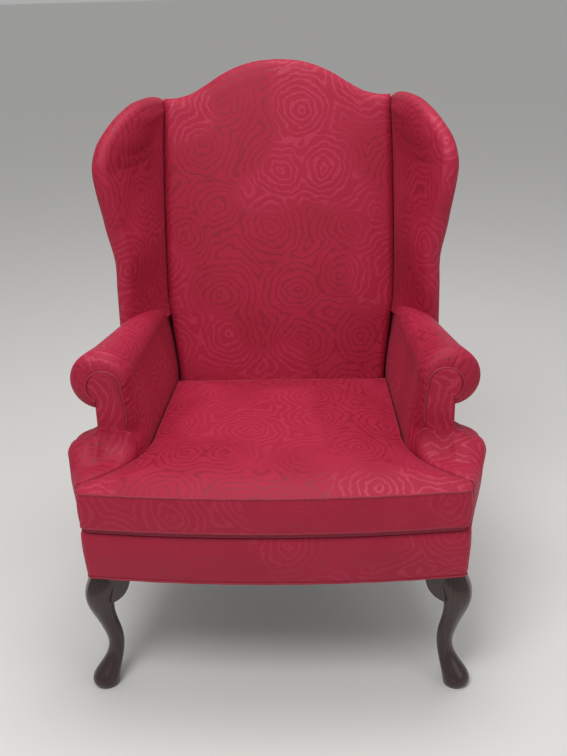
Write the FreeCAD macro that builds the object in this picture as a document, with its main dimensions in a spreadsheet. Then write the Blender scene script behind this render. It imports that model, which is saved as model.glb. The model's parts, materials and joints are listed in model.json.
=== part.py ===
import FreeCAD, Part
import math
import os

import Sketcher
from FreeCAD import Placement, Rotation, Vector

# Wingback armchair with cabriole front legs, rolled arms, arched back and a loose seat cushion.
# Millimetres. +Z is up, the front faces -Y and +X is on the right as the chair is seen from the front.
# The origin is on the floor, in the middle of the chair's overall box.

doc = FreeCAD.newDocument("wingback_armchair")

# Driving sizes. Each one is written once here and everything else is worked out from them.
SIZES = [
    ("rail_bottom", 270),
    ("rail_height", 92),
    ("rail_thick", 28),
    ("front_half_width", 357),
    ("front_corner_y", -356),
    ("bow_radius", 2600),
    ("border_rise", 12),
    ("border_thick", 21),
    ("border_swell", 14),
    ("rear_half_width", 292),
    ("cover_thick", 6),
    ("side_proud", 3),
    ("fit_gap", 0.3),
    ("post_size", 57),
    ("post_inset", 3.5),
    ("post_setback", 21.5),
    ("foot_reach", 24),
    ("foot_radius", 26.5),
    ("ankle_radius", 15.5),
    ("knee_radius", 29),
    ("knee_wing_reach", 15),
    ("knee_wing_drop", 72),
    ("knee_wing_thick", 26),
    ("rear_leg_width", 42),
    ("rear_foot_y", 308),
    ("rear_foot_depth", 34),
    ("spring_wire", 3.5),
    ("spring_loop", 44),
    ("spring_pitch", 32),
    ("spring_spacing", 102),
    ("deck_inset", 9),
    ("deck_rise", 10),
    ("cushion_side", 74),
    ("cushion_crown", 24),
    ("crown_spread", 130),
    ("cushion_overhang", 21),
    ("cushion_side_gap", 2.9),
    ("cushion_waist_y", -134),
    ("ear_depth", 43),
    ("ear_corner_radius", 14),
    ("ear_curve", 228),
    ("cushion_play", 1.2),
    ("cushion_back_gap", 5),
    ("boxing_draw", 3),
    ("foam_wall", 12),
    ("welt_radius", 2.5),
    ("back_base_y", 151.8),
    ("back_base_rise", 81),
    ("back_rake", 12.8),
    ("back_pad", 54),
    ("back_crown", 9),
    ("back_frame", 32),
    ("back_skin", 8.5),
    ("back_height", 703),
    ("crest_rise", 83),
    ("back_seam_inset", 31),
    ("back_taper", 11),
    ("crest_radius", 310),
    ("crest_sweep", 195),
    ("crest_turn_half", 165),
    ("crest_cover", 12),
    ("back_post_width", 44),
    ("strap_width", 50),
    ("strap_spacing", 135),
    ("wing_foot_rise", 18),
    ("wing_shoulder_drop", 119),
    ("wing_peak", 4.4),
    ("wing_flare", 18),
    ("wing_reach_bottom", 51),
    ("wing_reach_full", 77),
    ("wing_reach_top", 11),
    ("wing_depth", 142),
    ("wing_top_depth", 78),
    ("wing_shoulder_power", 2.2),
    ("wing_thick", 38),
    ("wing_pad", 14),
    ("wing_board", 30),
    ("arm_front_y", -232),
    ("arm_rear_y", 276),
    ("arm_roll_front", 55),
    ("arm_roll_rear", 22),
    ("arm_roll_inset_front", 26),
    ("arm_roll_inset_rear", 16),
    ("arm_roll_rise", 228),
    ("arm_neck_offset", 7),
    ("arm_inset_front", 104),
    ("arm_inset_rear", 55),
    ("arm_pad", 16),
    ("arm_round", 8),
    ("arm_foot_round", 14),
    ("arm_flare_front", 44),
    ("arm_flare_rear", 8),
    ("arm_flare_rise", 68),
    ("side_stuffing", 9),
    ("flare_hollow", 50),
    ("flare_round", 24),
    ("toe_reach", 99),
    ("toe_rise", 4),
    ("sweep_rise", 58),
    ("scroll_radius", 33),
    ("scroll_drop", 9),
    ("scroll_offset", 10),
    ("panel_swell", 6),
    ("panel_thick", 8),
]

sheet = doc.addObject("Spreadsheet::Sheet", "Sizes")
for row, (alias, number) in enumerate(SIZES, start=1):
    sheet.set("A%d" % row, alias)
    sheet.set("B%d" % row, str(number))
    sheet.setAlias("B%d" % row, alias)
doc.recompute()


class Size:
    """A length that carries its number and the sheet formula that it comes from."""

    def __init__(self, value, text=None):
        self.value = float(value)
        self.text = text if text is not None else "%.9g" % value
        self.bound = text is not None

    def join(self, other, sign, number):
        text = "(%s %s %s)" % (self.text, sign, other.text)
        return Size(number, text if self.bound or other.bound else None)

    def __add__(self, other):
        other = as_size(other)
        return self.join(other, "+", self.value + other.value)

    def __sub__(self, other):
        other = as_size(other)
        return self.join(other, "-", self.value - other.value)

    def __mul__(self, other):
        other = as_size(other)
        return self.join(other, "*", self.value * other.value)

    def __truediv__(self, other):
        other = as_size(other)
        return self.join(other, "/", self.value / other.value)

    def __radd__(self, other):
        return as_size(other) + self

    def __rsub__(self, other):
        return as_size(other) - self

    def __rmul__(self, other):
        return as_size(other) * self

    def __neg__(self):
        return as_size(0) - self


def as_size(number):
    return number if isinstance(number, Size) else Size(number)


def tan_of(angle):
    return Size(math.tan(math.radians(angle.value)), "tan(%s * 1deg)" % angle.text)


def cos_of(angle):
    return Size(math.cos(math.radians(angle.value)), "cos(%s * 1deg)" % angle.text)


def sin_of(angle):
    return Size(math.sin(math.radians(angle.value)), "sin(%s * 1deg)" % angle.text)


class Sizes:
    """The sheet's cells by name, so that s.rail_height is that cell."""

    def __getattr__(self, alias):
        return Size(getattr(sheet, alias), "Sizes.%s" % alias)


s = Sizes()
pieces = {}


def mix(start, end, share):
    """The size that lies a given share of the way from start to end."""
    return start + (end - start) * share


def new_body(label, placement=None):
    body = doc.addObject("PartDesign::Body", label)
    body.Label = label
    if placement is not None:
        body.Placement = placement
    return body


def keep(piece, label):
    """Names a finished sub-part and puts it on the list of pieces to write."""
    piece.Label = label
    pieces[label] = piece
    return piece


def keep_pair(piece, stem):
    """Keeps a right-hand piece and its mirror image across the middle of the chair."""
    keep(piece, "right_" + stem)
    twin = doc.addObject("Part::Mirroring", "left_" + stem)
    twin.Source = piece
    twin.Normal = Vector(1, 0, 0)
    keep(twin, "left_" + stem)
    return piece


def both_sides(outline):
    """Closes a right-hand outline that starts and ends off the middle line with its mirror."""
    count = len(outline)
    mirrored = []
    for index in range(count - 1, -1, -1):
        x, y = outline[index][:2]
        arriving = outline[index + 1][2:] if index + 1 < count else ()
        mirrored.append((-x, y) + arriving)
    return outline + mirrored


def arc_between(start, end, radius):
    """Arc from start to end, under a half circle: counter-clockwise for a positive radius."""
    chord = end - start
    half = chord.Length / 2
    rise = math.sqrt(radius * radius - half * half)
    left = Vector(-chord.y, chord.x, 0).normalize()
    centre = (start + end) * 0.5 + left * (rise if radius > 0 else -rise)
    first, last = (start, end) if radius > 0 else (end, start)
    begin = math.atan2(first.y - centre.y, first.x - centre.x)
    finish = math.atan2(last.y - centre.y, last.x - centre.x)
    circle = Part.Circle(centre, Vector(0, 0, 1), abs(radius))
    return Part.ArcOfCircle(circle, begin, finish)


def draw(sketch, outline):
    """Draws a closed outline of (x, y) or (x, y, radius) corners, each bound to the sheet.

    The radius is that of the arc which arrives at the corner, and is missing for a line."""
    corners = [(as_size(item[0]), as_size(item[1])) for item in outline]
    points = [Vector(x.value, y.value, 0) for x, y in corners]
    radii = [item[2] if len(item) > 2 else None for item in outline]
    count = len(outline)
    edges = []
    ends = []
    for index in range(count):
        following = (index + 1) % count
        radius = radii[following]
        if radius is None:
            edges.append(Part.LineSegment(points[index], points[following]))
            ends.append((1, 2))
        else:
            bend = as_size(radius)
            edges.append(arc_between(points[index], points[following], bend.value))
            ends.append((1, 2) if bend.value > 0 else (2, 1))
    sketch.addGeometry(edges, False)
    rules = []
    bindings = []
    for index in range(count):
        before = (index - 1) % count
        rules.append(Sketcher.Constraint("Coincident", before, ends[before][1], index, ends[index][0]))
    for index, corner in enumerate(corners):
        for kind, size in zip(("DistanceX", "DistanceY"), corner):
            if size.bound:
                bindings.append((len(rules), size.text))
            rules.append(Sketcher.Constraint(kind, -1, 1, index, ends[index][0], size.value))
    for index in range(count):
        radius = radii[(index + 1) % count]
        if radius is not None:
            bend = as_size(radius)
            if bend.bound:
                sign = "" if bend.value > 0 else "-1 * "
                bindings.append((len(rules), sign + bend.text))
            rules.append(Sketcher.Constraint("Radius", index, abs(bend.value)))
    sketch.addConstraint(rules)
    for number, text in bindings:
        sketch.setExpression("Constraints[%d]" % number, text)


PLANES = {"x": "YZ_Plane", "y": "XZ_Plane", "z": "XY_Plane"}


def sketch_at(body, axis, outline, height):
    """Sketch square to an axis of the body, at a height along that axis."""
    height = as_size(height)
    lift = -height if axis == "y" else height
    sketch = body.newObject("Sketcher::SketchObject", "Outline")
    planes = [part for part in body.Origin.OriginFeatures if part.Role == PLANES[axis]]
    sketch.AttachmentSupport = [(planes[0], "")]
    sketch.MapMode = "FlatFace"
    sketch.AttachmentOffset = Placement(Vector(0, 0, lift.value), Rotation())
    if lift.bound:
        sketch.setExpression("AttachmentOffset.Base.z", lift.text)
    draw(sketch, outline)
    return sketch


def set_length(feature, length):
    feature.Length = length.value
    if length.bound:
        feature.setExpression("Length", length.text)


def pad(body, axis, outline, low, high):
    """Adds the outline, drawn square to the axis, from low to high along it."""
    low, high = as_size(low), as_size(high)
    start = high if axis == "y" else low
    feature = body.newObject("PartDesign::Pad", "Pad")
    feature.Profile = sketch_at(body, axis, outline, start)
    set_length(feature, high - low)
    return feature


def pocket(body, axis, outline, low, high):
    """Takes the outline out of the body from low to high along the axis."""
    low, high = as_size(low), as_size(high)
    start = low if axis == "y" else high
    doc.recompute()
    before = body.Shape.Volume
    feature = body.newObject("PartDesign::Pocket", "Pocket")
    feature.Profile = sketch_at(body, axis, outline, start)
    set_length(feature, high - low)
    doc.recompute()
    if body.Shape.Volume > before - 1:
        raise RuntimeError("a pocket in %s cuts nothing" % body.Label)
    return feature


def loft(body, axis, sections, ruled=False, cut=False):
    """Lofts through (height, outline) sections along the axis."""
    kind = "PartDesign::SubtractiveLoft" if cut else "PartDesign::AdditiveLoft"
    sketches = [sketch_at(body, axis, outline, height) for height, outline in sections]
    feature = body.newObject(kind, "Loft")
    feature.Profile = sketches[0]
    feature.Sections = sketches[1:]
    feature.Ruled = ruled
    return feature


def group(label, members):
    """Separate solids of one kind that share a node."""
    compound = doc.addObject("Part::Compound", label)
    compound.Links = members
    return keep(compound, label)


def cut_from(label, base, tool):
    piece = doc.addObject("Part::Cut", label)
    piece.Base = base
    piece.Tool = tool
    return piece


# Places worked out from the driving sizes.

rail_top = s.rail_bottom + s.rail_height
border_top = rail_top + s.border_rise
cushion_bottom = border_top + s.deck_rise
post_outer = s.front_half_width - s.post_inset
post_inner = post_outer - s.post_size
post_front = s.front_corner_y + s.post_setback
post_rear = post_front + s.post_size
deck_top = cushion_bottom - s.fit_gap
cushion_front = s.front_corner_y - s.cushion_overhang
ear_back_y = cushion_front + s.ear_depth
back_base_z = cushion_bottom + s.back_base_rise
back_shoulder = s.back_height - s.crest_rise
back_wide_half = s.rear_half_width - s.back_seam_inset
back_top_half = back_wide_half - s.back_taper
arm_roll_z = cushion_bottom + s.arm_roll_rise
arm_flare_z = cushion_bottom + s.arm_flare_rise
toe_front_y = s.arm_front_y - s.toe_reach
toe_top = cushion_bottom + s.cushion_side + s.toe_rise
arm_roll_x = s.front_half_width - s.arm_roll_inset_front
arm_neck_x = arm_roll_x + s.arm_neck_offset
arm_flare_x = s.front_half_width + s.arm_flare_front
wing_bottom = arm_roll_z + s.wing_foot_rise
wing_top = back_base_z + back_shoulder * cos_of(s.back_rake) + s.wing_peak
wing_full_z = wing_top - s.wing_shoulder_drop


def bow_y(x, corner_y):
    """Depth of the bowed front at x, for a bow whose corner lies at corner_y."""
    half = s.front_half_width
    return corner_y - (half * half - x * x) / (2 * s.bow_radius)


def back_y(z, depth):
    """Y of the leaning back at height z, a given depth behind its front surface."""
    return s.back_base_y + (z - back_base_z) * tan_of(s.back_rake) + depth / cos_of(s.back_rake)


def along_arm(y):
    return (y - s.arm_front_y) / (s.arm_rear_y - s.arm_front_y)


def arm_at(y):
    """Centre x, radius, inside x and stuffing of the arm at depth y."""
    share = along_arm(y)
    return (
        mix(arm_roll_x, s.rear_half_width - s.arm_roll_inset_rear, share),
        mix(s.arm_roll_front, s.arm_roll_rear, share),
        mix(s.front_half_width - s.arm_inset_front, s.rear_half_width - s.arm_inset_rear, share),
        mix(s.arm_pad, s.arm_pad / 2, share),
    )


frame_front = s.back_pad + 2
frame_rear = frame_front + s.back_frame
back_total = frame_rear + s.back_skin

leaning = Placement(Vector(0, s.back_base_y.value, back_base_z.value),
                    Rotation(Vector(1, 0, 0), -s.back_rake.value))


def up_back(z, depth=0):
    """Distance up the leaning back of a point at height z, a given depth behind its front."""
    return (z - back_base_z) / cos_of(s.back_rake) + depth * tan_of(s.back_rake)


# Front legs: cabriole, turned out at knee and foot along the diagonal, square post above.

def leg_section(reach, corner, bulge):
    """Four arcs between corners: a circle where bulge is corner * sqrt(2), else a soft square."""
    centre_x = post_outer - s.post_size / 2 + reach
    centre_y = post_front + s.post_size / 2 - reach
    return [
        (centre_x - corner, centre_y - corner, bulge),
        (centre_x + corner, centre_y - corner, bulge),
        (centre_x + corner, centre_y + corner, bulge),
        (centre_x - corner, centre_y + corner, bulge),
    ]


def round_leg_section(reach, radius):
    return leg_section(reach, radius * math.sqrt(0.5), radius)


def front_leg(label, grow):
    body = new_body(label)
    drop = s.rail_bottom
    post = s.post_size / 2 + grow
    foot = s.foot_radius + grow
    ankle = s.ankle_radius + grow
    knee = s.knee_radius + grow
    reach = s.foot_reach
    loft(body, "z", [
        (0, round_leg_section(reach, foot - 3)),
        (drop * 0.075, round_leg_section(reach, foot)),
        (drop * 0.155, round_leg_section(reach * 0.6, foot * 0.8)),
        (drop * 0.3, round_leg_section(reach * 0.13, ankle)),
        (drop * 0.45, round_leg_section(reach * 0.3, ankle * 1.12)),
        (drop * 0.62, round_leg_section(reach * 0.72, knee * 0.74)),
        (drop * 0.8, leg_section(reach * 0.78, knee * 0.76, knee * 1.25)),
        (drop * 0.92, leg_section(reach * 0.32, post * 0.88, post * 2.2)),
        (drop, leg_section(as_size(0), post, post * 80)),
    ])
    middle_x = post_outer - s.post_size / 2
    middle_y = post_front + s.post_size / 2
    pad(body, "z", [
        (middle_x - post, middle_y - post),
        (middle_x + post, middle_y - post),
        (middle_x + post, middle_y + post),
        (middle_x - post, middle_y + post),
    ], drop, rail_top)
    return body


keep_pair(front_leg("front_leg", as_size(0)), "front_leg")
leg_room = front_leg("leg_room", s.fit_gap)


# Knee blocks: glued brackets that carry the knee's curve on along the rails.

def knee_block(axis):
    along_x = axis == "y"
    near = post_inner if along_x else post_rear
    away = -1 if along_x else 1
    top = s.rail_bottom
    low = top - s.knee_wing_drop
    tip = near + s.knee_wing_reach * away
    heel = near - s.post_size * 0.42 * away
    curve = s.knee_wing_drop * 0.9
    outline = [
        (near, top),
        (tip, top),
        (tip, top - s.knee_wing_drop * 0.3),
        (heel, low, curve if along_x else -curve),
        (heel, top),
    ]
    body = new_body("knee_block_" + axis)
    middle = (post_front if along_x else post_outer)
    step = 1 if along_x else -1
    edge = middle - s.foot_reach * 0.35 * step
    other = edge + s.knee_wing_thick * step
    low_side, high_side = (edge, other) if along_x else (other, edge)
    pad(body, axis, outline, low_side, high_side)
    return cut_from("knee_block_cut_" + axis, body, leg_room)


blocks = doc.addObject("Part::Compound", "knee_blocks")
blocks.Links = [knee_block("y"), knee_block("x")]
keep_pair(blocks, "knee_blocks")


# Rear legs: square, raked back below the rails, and standing under the back posts.

rear_leg_outer = s.rear_half_width - s.cover_thick - s.fit_gap
rear_leg_inner = rear_leg_outer - s.rear_leg_width


def rear_leg():
    body = new_body("rear_leg")
    bottom = s.rail_bottom
    sweep = s.rail_bottom * 2.6
    joint = rail_top + s.back_frame * sin_of(s.back_rake)
    outline = [
        (s.rear_foot_y - s.rear_foot_depth / 2, 0, -sweep),
        (s.rear_foot_y + s.rear_foot_depth / 2, 0),
        (back_y(bottom, frame_rear), bottom, sweep),
        (back_y(rail_top, frame_rear), rail_top),
        (back_y(joint, frame_front), joint),
        (back_y(bottom, frame_front), bottom),
    ]
    pad(body, "x", outline, rear_leg_inner, rear_leg_outer)
    return keep_pair(body, "rear_leg")


rear_leg()


# Seat frame: bowed front rail, two side rails and a rear rail, with glued corner blocks.

rail_back_y = post_front + s.rail_thick
side_inner_front = post_outer - s.rail_thick


def side_rail_x(y, inner):
    """X of a side rail's outer or inner face, which runs from the front post to the rear leg."""
    front = side_inner_front if inner else post_outer
    rear = rear_leg_outer - s.rail_thick if inner else rear_leg_outer
    run = back_y(rail_top, frame_front) - post_rear
    return front + (rear - front) * (y - post_rear) / run


def front_rail():
    body = new_body("front_seat_rail")
    face = bow_y(post_inner, s.front_corner_y) + s.border_thick
    pad(body, "z", [
        (post_inner, rail_back_y),
        (-post_inner, rail_back_y),
        (-post_inner, face),
        (post_inner, face, s.bow_radius),
    ], s.rail_bottom, rail_top)
    keep(body, "front_seat_rail")


def side_rail():
    body = new_body("side_rail")
    far = back_y(rail_top, frame_front)
    pad(body, "z", [
        (side_inner_front, post_rear),
        (post_outer, post_rear),
        (side_rail_x(far, False), far),
        (side_rail_x(far, True), far),
    ], s.rail_bottom, rail_top)
    pocket(body, "x", [
        (back_y(s.rail_bottom, frame_front), s.rail_bottom),
        (far + 10, s.rail_bottom),
        (far + 10, rail_top),
        (far, rail_top),
    ], rear_leg_inner - s.rail_thick, post_outer)
    keep_pair(body, "side_rail")


def rear_rail():
    body = new_body("rear_seat_rail", leaning)
    low = up_back(s.rail_bottom, frame_rear)
    high = up_back(rail_top, frame_front)
    pad(body, "y", [
        (-rear_leg_inner, low),
        (rear_leg_inner, low),
        (rear_leg_inner, high),
        (-rear_leg_inner, high),
    ], frame_front, frame_rear)
    keep(body, "rear_seat_rail")


def corner_blocks():
    low = s.rail_bottom + 20
    high = rail_top - 20
    leg_reach = s.post_size * 1.2
    members = []
    front = new_body("front_corner_block")
    pad(front, "z", [
        (post_inner - leg_reach, rail_back_y),
        (post_inner, rail_back_y),
        (post_inner, post_rear),
        (side_inner_front, post_rear),
        (side_rail_x(post_rear + leg_reach, True), post_rear + leg_reach),
    ], low, high)
    rear = new_body("rear_corner_block")
    rear_face = back_y(low, frame_front)
    pad(rear, "z", [
        (side_rail_x(rear_face, True), rear_face),
        (rear_leg_inner - leg_reach, rear_face),
        (side_rail_x(rear_face - leg_reach, True), rear_face - leg_reach),
    ], low, high)
    for block in (front, rear):
        twin = doc.addObject("Part::Mirroring", block.Name + "_left")
        twin.Source = block
        twin.Normal = Vector(1, 0, 0)
        members += [block, twin]
    group("corner_blocks", members)


front_rail()
side_rail()
rear_rail()
corner_blocks()


# Back frame: two posts, an arched crest rail and a tuck rail, all in the leaning back.

post_foot = up_back(rail_top, frame_rear)
post_top = back_shoulder - s.crest_cover - 4
post_top_outer = back_top_half + s.wing_thick * 0.45
post_bottom_outer = s.rear_half_width - s.cover_thick - s.fit_gap


def post_outer_x(z):
    """X of the back post's outer face at height z: it leans in a little towards the top."""
    share = (up_back(z) - post_foot) / (post_top - post_foot)
    return mix(post_bottom_outer, post_top_outer, share)


def arch(half, shoulder, inset, lower):
    """Right half of an outline under the arched top: shoulder, hollow sweep and round crest."""
    turn = s.crest_turn_half - inset / 2
    radius = s.crest_radius - inset
    apex = s.back_height - inset
    turn_height = apex - turn * turn / (2 * radius) * 1.08
    return [
        (half, lower),
        (half, shoulder),
        (turn, turn_height, -(s.crest_sweep + inset)),
        (as_size(0), apex, radius),
    ]


def mirrored_arch(lower_corners, top):
    """Closes an outline whose last point lies on the middle line."""
    right = lower_corners + top
    left = []
    for index in range(len(right) - 2, -1, -1):
        left.append((-right[index][0], right[index][1]) + right[index + 1][2:])
    return right + left


def back_post():
    body = new_body("back_post", leaning)
    pad(body, "y", [
        (post_bottom_outer - s.back_post_width, post_foot),
        (post_bottom_outer, post_foot),
        (post_top_outer, post_top),
        (post_top_outer - s.back_post_width, post_top),
    ], frame_front, frame_rear)
    return keep_pair(body, "back_post")


def crest_rail():
    body = new_body("crest_rail", leaning)
    lower = post_top - 60
    half = post_top_outer - s.back_post_width - 1
    shoulder = back_shoulder - s.crest_cover + 3
    outline = mirrored_arch([], arch(half, shoulder, s.crest_cover + s.fit_gap, lower))
    pad(body, "y", outline, frame_front, frame_rear)
    keep(body, "crest_rail")


def back_tuck_rail():
    body = new_body("back_tuck_rail", leaning)
    half = post_bottom_outer - s.back_post_width - 5
    low = up_back(deck_top) + 20
    pad(body, "y", [(-half, low), (half, low), (half, low + 50), (-half, low + 50)],
        frame_front, frame_rear)
    keep(body, "back_tuck_rail")


def back_webbing():
    """Straps across the front of the back posts and down the middle, woven into one layer."""
    body = new_body("back_webbing", leaning)
    low = up_back(deck_top) + 22
    high = post_top - 4
    strap = s.strap_width
    front = s.back_pad + s.fit_gap
    rear = frame_front
    for row in range(4):
        height = mix(low + strap * 0.5, high - strap * 1.6, row / 3)
        share = (height - post_foot) / (post_top - post_foot)
        reach = mix(post_bottom_outer, post_top_outer, share) - s.back_post_width + 10
        pad(body, "y", [(-reach, height), (reach, height), (reach, height + strap),
                        (-reach, height + strap)], front, rear)
    for column in (-1, 0, 1):
        middle = s.strap_spacing * column
        pad(body, "y", [(middle - strap / 2, low), (middle + strap / 2, low),
                        (middle + strap / 2, high), (middle - strap / 2, high)], front, rear)
    keep(body, "back_webbing")


back_post()
crest_rail()
back_tuck_rail()
back_webbing()


# Inside back: the stuffed front of the back, crowned, turned over the crest rail at the top.

def back_outline(inset):
    low = up_back(deck_top) + 3 + inset * 2.2
    seat = arm_at(back_y(back_base_z, s.back_pad))[2] - s.cushion_play - inset
    wide = back_wide_half - 1 - inset
    top = back_top_half - 1 - inset
    join = up_back(wing_bottom) + inset
    lower = [(seat, low), (seat, inset * 2.4), (wide - 5, join), (wide - 2, join + 70)]
    return mirrored_arch(lower, arch(top, back_shoulder - inset, inset, back_shoulder * 0.8))


def inside_back():
    body = new_body("inside_back", leaning)
    loft(body, "y", [
        (frame_rear, back_outline(as_size(0))),
        (s.back_crown * 1.8, back_outline(as_size(0))),
        (s.back_crown * 0.5, back_outline(s.back_crown)),
        (as_size(0), back_outline(s.back_crown * 3)),
        (-s.back_crown, back_outline(s.back_crown * 9)),
    ], ruled=True)
    cover = s.crest_cover
    side = s.rear_half_width
    low = up_back(deck_top) - 40
    top = arch(back_top_half - cover, back_shoulder - cover, cover, as_size(0))
    pocket(body, "y", mirrored_arch([(side, low), (side, back_shoulder - cover)], top[1:]),
           s.back_pad, frame_rear + 1)
    keep(body, "inside_back")


def outside_back():
    body = new_body("outside_back", leaning)
    low = up_back(s.rail_bottom) + back_total * tan_of(s.back_rake)
    edge = s.cover_thick + s.fit_gap
    lower = [(s.rear_half_width, low), (post_top_outer + edge, back_shoulder - 12)]
    top = arch(back_top_half, back_shoulder, as_size(0), low)
    pad(body, "y", mirrored_arch(lower, top[1:]), frame_rear + s.fit_gap, back_total)
    keep(body, "outside_back")


inside_back()
outside_back()


# Arms: a roll that narrows towards the back, on a scrolled post, over a hollow flared side.

arm_lower = cushion_bottom - 3
arm_far = back_y(arm_roll_z + s.arm_roll_front, frame_rear)


def arm_cover_section(y, rounding, foot):
    """Stuffed cover from the deck up the inside and round the roll to its underside."""
    centre, radius, inside, stuffing = arm_at(y)
    z = arm_roll_z
    outer = radius - rounding
    inner = radius - stuffing
    return [
        (inside + foot, arm_lower),
        (centre - outer, z),
        (centre, z + outer, -outer),
        (centre + outer, z, -outer),
        (centre, z - outer, -outer),
        (centre, z - inner),
        (centre + inner, z, inner),
        (centre, z + inner, inner),
        (centre - inner, z, inner),
        (inside + stuffing, arm_lower),
    ]


def arm_core_section(y):
    """The whole arm inside its outer surface, for shaping what rests on it."""
    centre, radius, inside, stuffing = arm_at(y)
    z = arm_roll_z
    grown = radius + s.fit_gap
    return [
        (inside, z - radius * 2),
        (centre - grown, z),
        (centre, z + grown, -grown),
        (centre + grown, z, -grown),
        (centre + grown, z - radius * 2),
    ]


def behind_back(depth):
    """Outline, seen from the side, of all that lies further back than a depth in the back."""
    low = s.rail_bottom - 30
    high = wing_top + 60
    far = back_y(high, depth) + 150
    return [(back_y(low, depth), low), (far, low), (far, high), (back_y(high, depth), high)]


def side_at(y):
    """Neck x, flare x and bottom x of the outside of the arm at depth y."""
    share = along_arm(y)
    return (
        mix(arm_neck_x, s.rear_half_width, share),
        mix(arm_flare_x, s.rear_half_width + s.arm_flare_rear, share),
        mix(s.front_half_width + s.side_stuffing, s.rear_half_width, share),
    )


def reverse_edge(edge):
    """The same edge walked the other way."""
    walked = []
    for index in range(len(edge) - 1, -1, -1):
        arc = ()
        if index + 1 < len(edge) and len(edge[index + 1]) > 2:
            arc = (-edge[index + 1][2],)
        walked.append(edge[index][:2] + arc)
    return walked


def scroll_path(inset):
    """Edge of the front panel, from the inside of the arm over the scroll to the neck."""
    radius = s.scroll_radius - inset
    x = arm_roll_x - s.scroll_offset
    z = arm_roll_z - s.scroll_drop
    neck = side_at(s.arm_front_y + s.panel_thick)[0] - s.cover_thick - s.fit_gap - inset
    start = toe_top + s.sweep_rise
    return [
        (x - s.scroll_radius - s.panel_swell + inset, start),
        (x - radius, z, -arm_roll_z),
        (x, z + radius, -radius),
        (x + radius, z, -radius),
        (neck, z - radius * 0.86, -radius),
    ]


def gathered_band(y, rounding):
    """The cover's front, turned in over the arm's edge to the welt of the scroll panel."""
    centre, radius, inside, stuffing = arm_at(y)
    outer = radius - rounding
    z = arm_roll_z
    welt = scroll_path(-s.welt_radius - s.fit_gap)
    start = welt[0][1] + s.fit_gap
    neck = welt[-1][0] + 2
    rise = (start - arm_lower) / (z - arm_lower)
    drop = (outer * outer - (neck - centre) * (neck - centre)).value ** 0.5
    return [
        (mix(inside + s.arm_foot_round, centre - outer, rise), start),
        (centre - outer, z),
        (centre, z + outer, -outer),
        (centre + outer, z, -outer),
        (neck, z - drop, -outer),
    ] + reverse_edge(welt)


def inside_arm():
    body = new_body("inside_arm")
    front = s.arm_front_y + s.panel_thick + s.fit_gap
    turn = s.arm_round
    foot = s.arm_foot_round
    loft(body, "y", [
        (front, arm_cover_section(front, turn * 0.6, foot)),
        (front + 10, arm_cover_section(front + 10, turn * 0.28, foot * 0.5)),
        (front + 26, arm_cover_section(front + 26, turn * 0.08, foot * 0.14)),
        (front + 50, arm_cover_section(front + 50, as_size(0), as_size(0))),
        (arm_far, arm_cover_section(arm_far, as_size(0), as_size(0))),
    ], ruled=True)
    loft(body, "y", [
        (s.arm_front_y + 2, gathered_band(s.arm_front_y + 2, turn)),
        (front, gathered_band(front, turn * 0.6)),
    ], ruled=True)
    pocket(body, "x", behind_back(s.back_pad), as_size(0), arm_roll_x * 2)
    return keep_pair(body, "inside_arm")


def half_round(y):
    centre, radius, inside, stuffing = arm_at(y)
    core = radius - stuffing - s.fit_gap
    z = arm_roll_z
    return [(centre - core, z), (centre, z + core, -core), (centre + core, z, -core)]


arm_post_front = s.arm_front_y + s.panel_thick + s.fit_gap * 2
arm_post_rear = arm_post_front + s.rail_thick


def arm_rail():
    body = new_body("arm_rail")
    loft(body, "y", [(arm_post_rear, half_round(arm_post_rear)), (arm_far, half_round(arm_far))],
         ruled=True)
    pocket(body, "x", behind_back(frame_front), as_size(0), arm_roll_x * 2)
    keep_pair(body, "arm_rail")


def outside_edge(y, inset):
    """Right edge of the arm seen from the front, from under the roll to the rail's bottom."""
    centre, radius, inside, stuffing = arm_at(y)
    neck, flare, bottom = side_at(y)
    top = arm_roll_z - radius - s.fit_gap
    bend = arm_flare_z
    return [
        (neck - inset, top),
        (neck - inset, bend + 56 - inset / 2),
        (mix(neck, flare, 0.72) - inset * 0.7, bend + 22 - inset * 0.7, s.flare_hollow),
        (flare - inset, bend - inset * 0.3, -s.flare_round),
        (bottom - inset, s.rail_bottom),
    ]


def outside_section(y):
    return outside_edge(y, as_size(0)) + reverse_edge(outside_edge(y, s.cover_thick))


def outside_arm():
    body = new_body("outside_arm")
    loft(body, "y", [(s.arm_front_y, outside_section(s.arm_front_y)),
                     (arm_far, outside_section(arm_far))], ruled=True)
    pocket(body, "x", behind_back(frame_rear), as_size(0), arm_flare_x * 2)
    return keep_pair(body, "outside_arm")


def side_x(y, z, inset):
    """X of the outside face below the flare, at depth y behind the arm's front and height z."""
    neck, flare, bottom = side_at(y)
    return mix(bottom, flare, (z - s.rail_bottom) / (arm_flare_z - s.rail_bottom)) - inset


def arm_post():
    body = new_body("arm_post")
    near = arm_at(arm_post_front)
    far = arm_at(arm_post_rear)
    centre = (near[0] + far[0]) / 2
    core = far[1] - far[3] - (near[0] - far[0]) / 2 - s.fit_gap * 3
    heel = near[2] + near[3] + s.fit_gap * 3
    z = arm_roll_z
    foot = rail_top + 0.01
    skin = s.cover_thick + s.fit_gap * 2
    edge = outside_edge(arm_post_rear, skin)
    neck = far[0] - s.fit_gap * 2
    pad(body, "y", [
        (heel, foot),
        (side_x(arm_post_rear, rail_top, skin), foot),
        edge[3][:2],
        edge[2][:2] + (s.flare_round,),
        (neck, edge[1][1], -s.flare_hollow),
        (neck, z - core),
        (centre, z - core),
        (centre + core, z, core),
        (centre, z + core, core),
        (centre - core, z, core),
    ], arm_post_front, arm_post_rear)
    return keep_pair(body, "arm_post")


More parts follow.
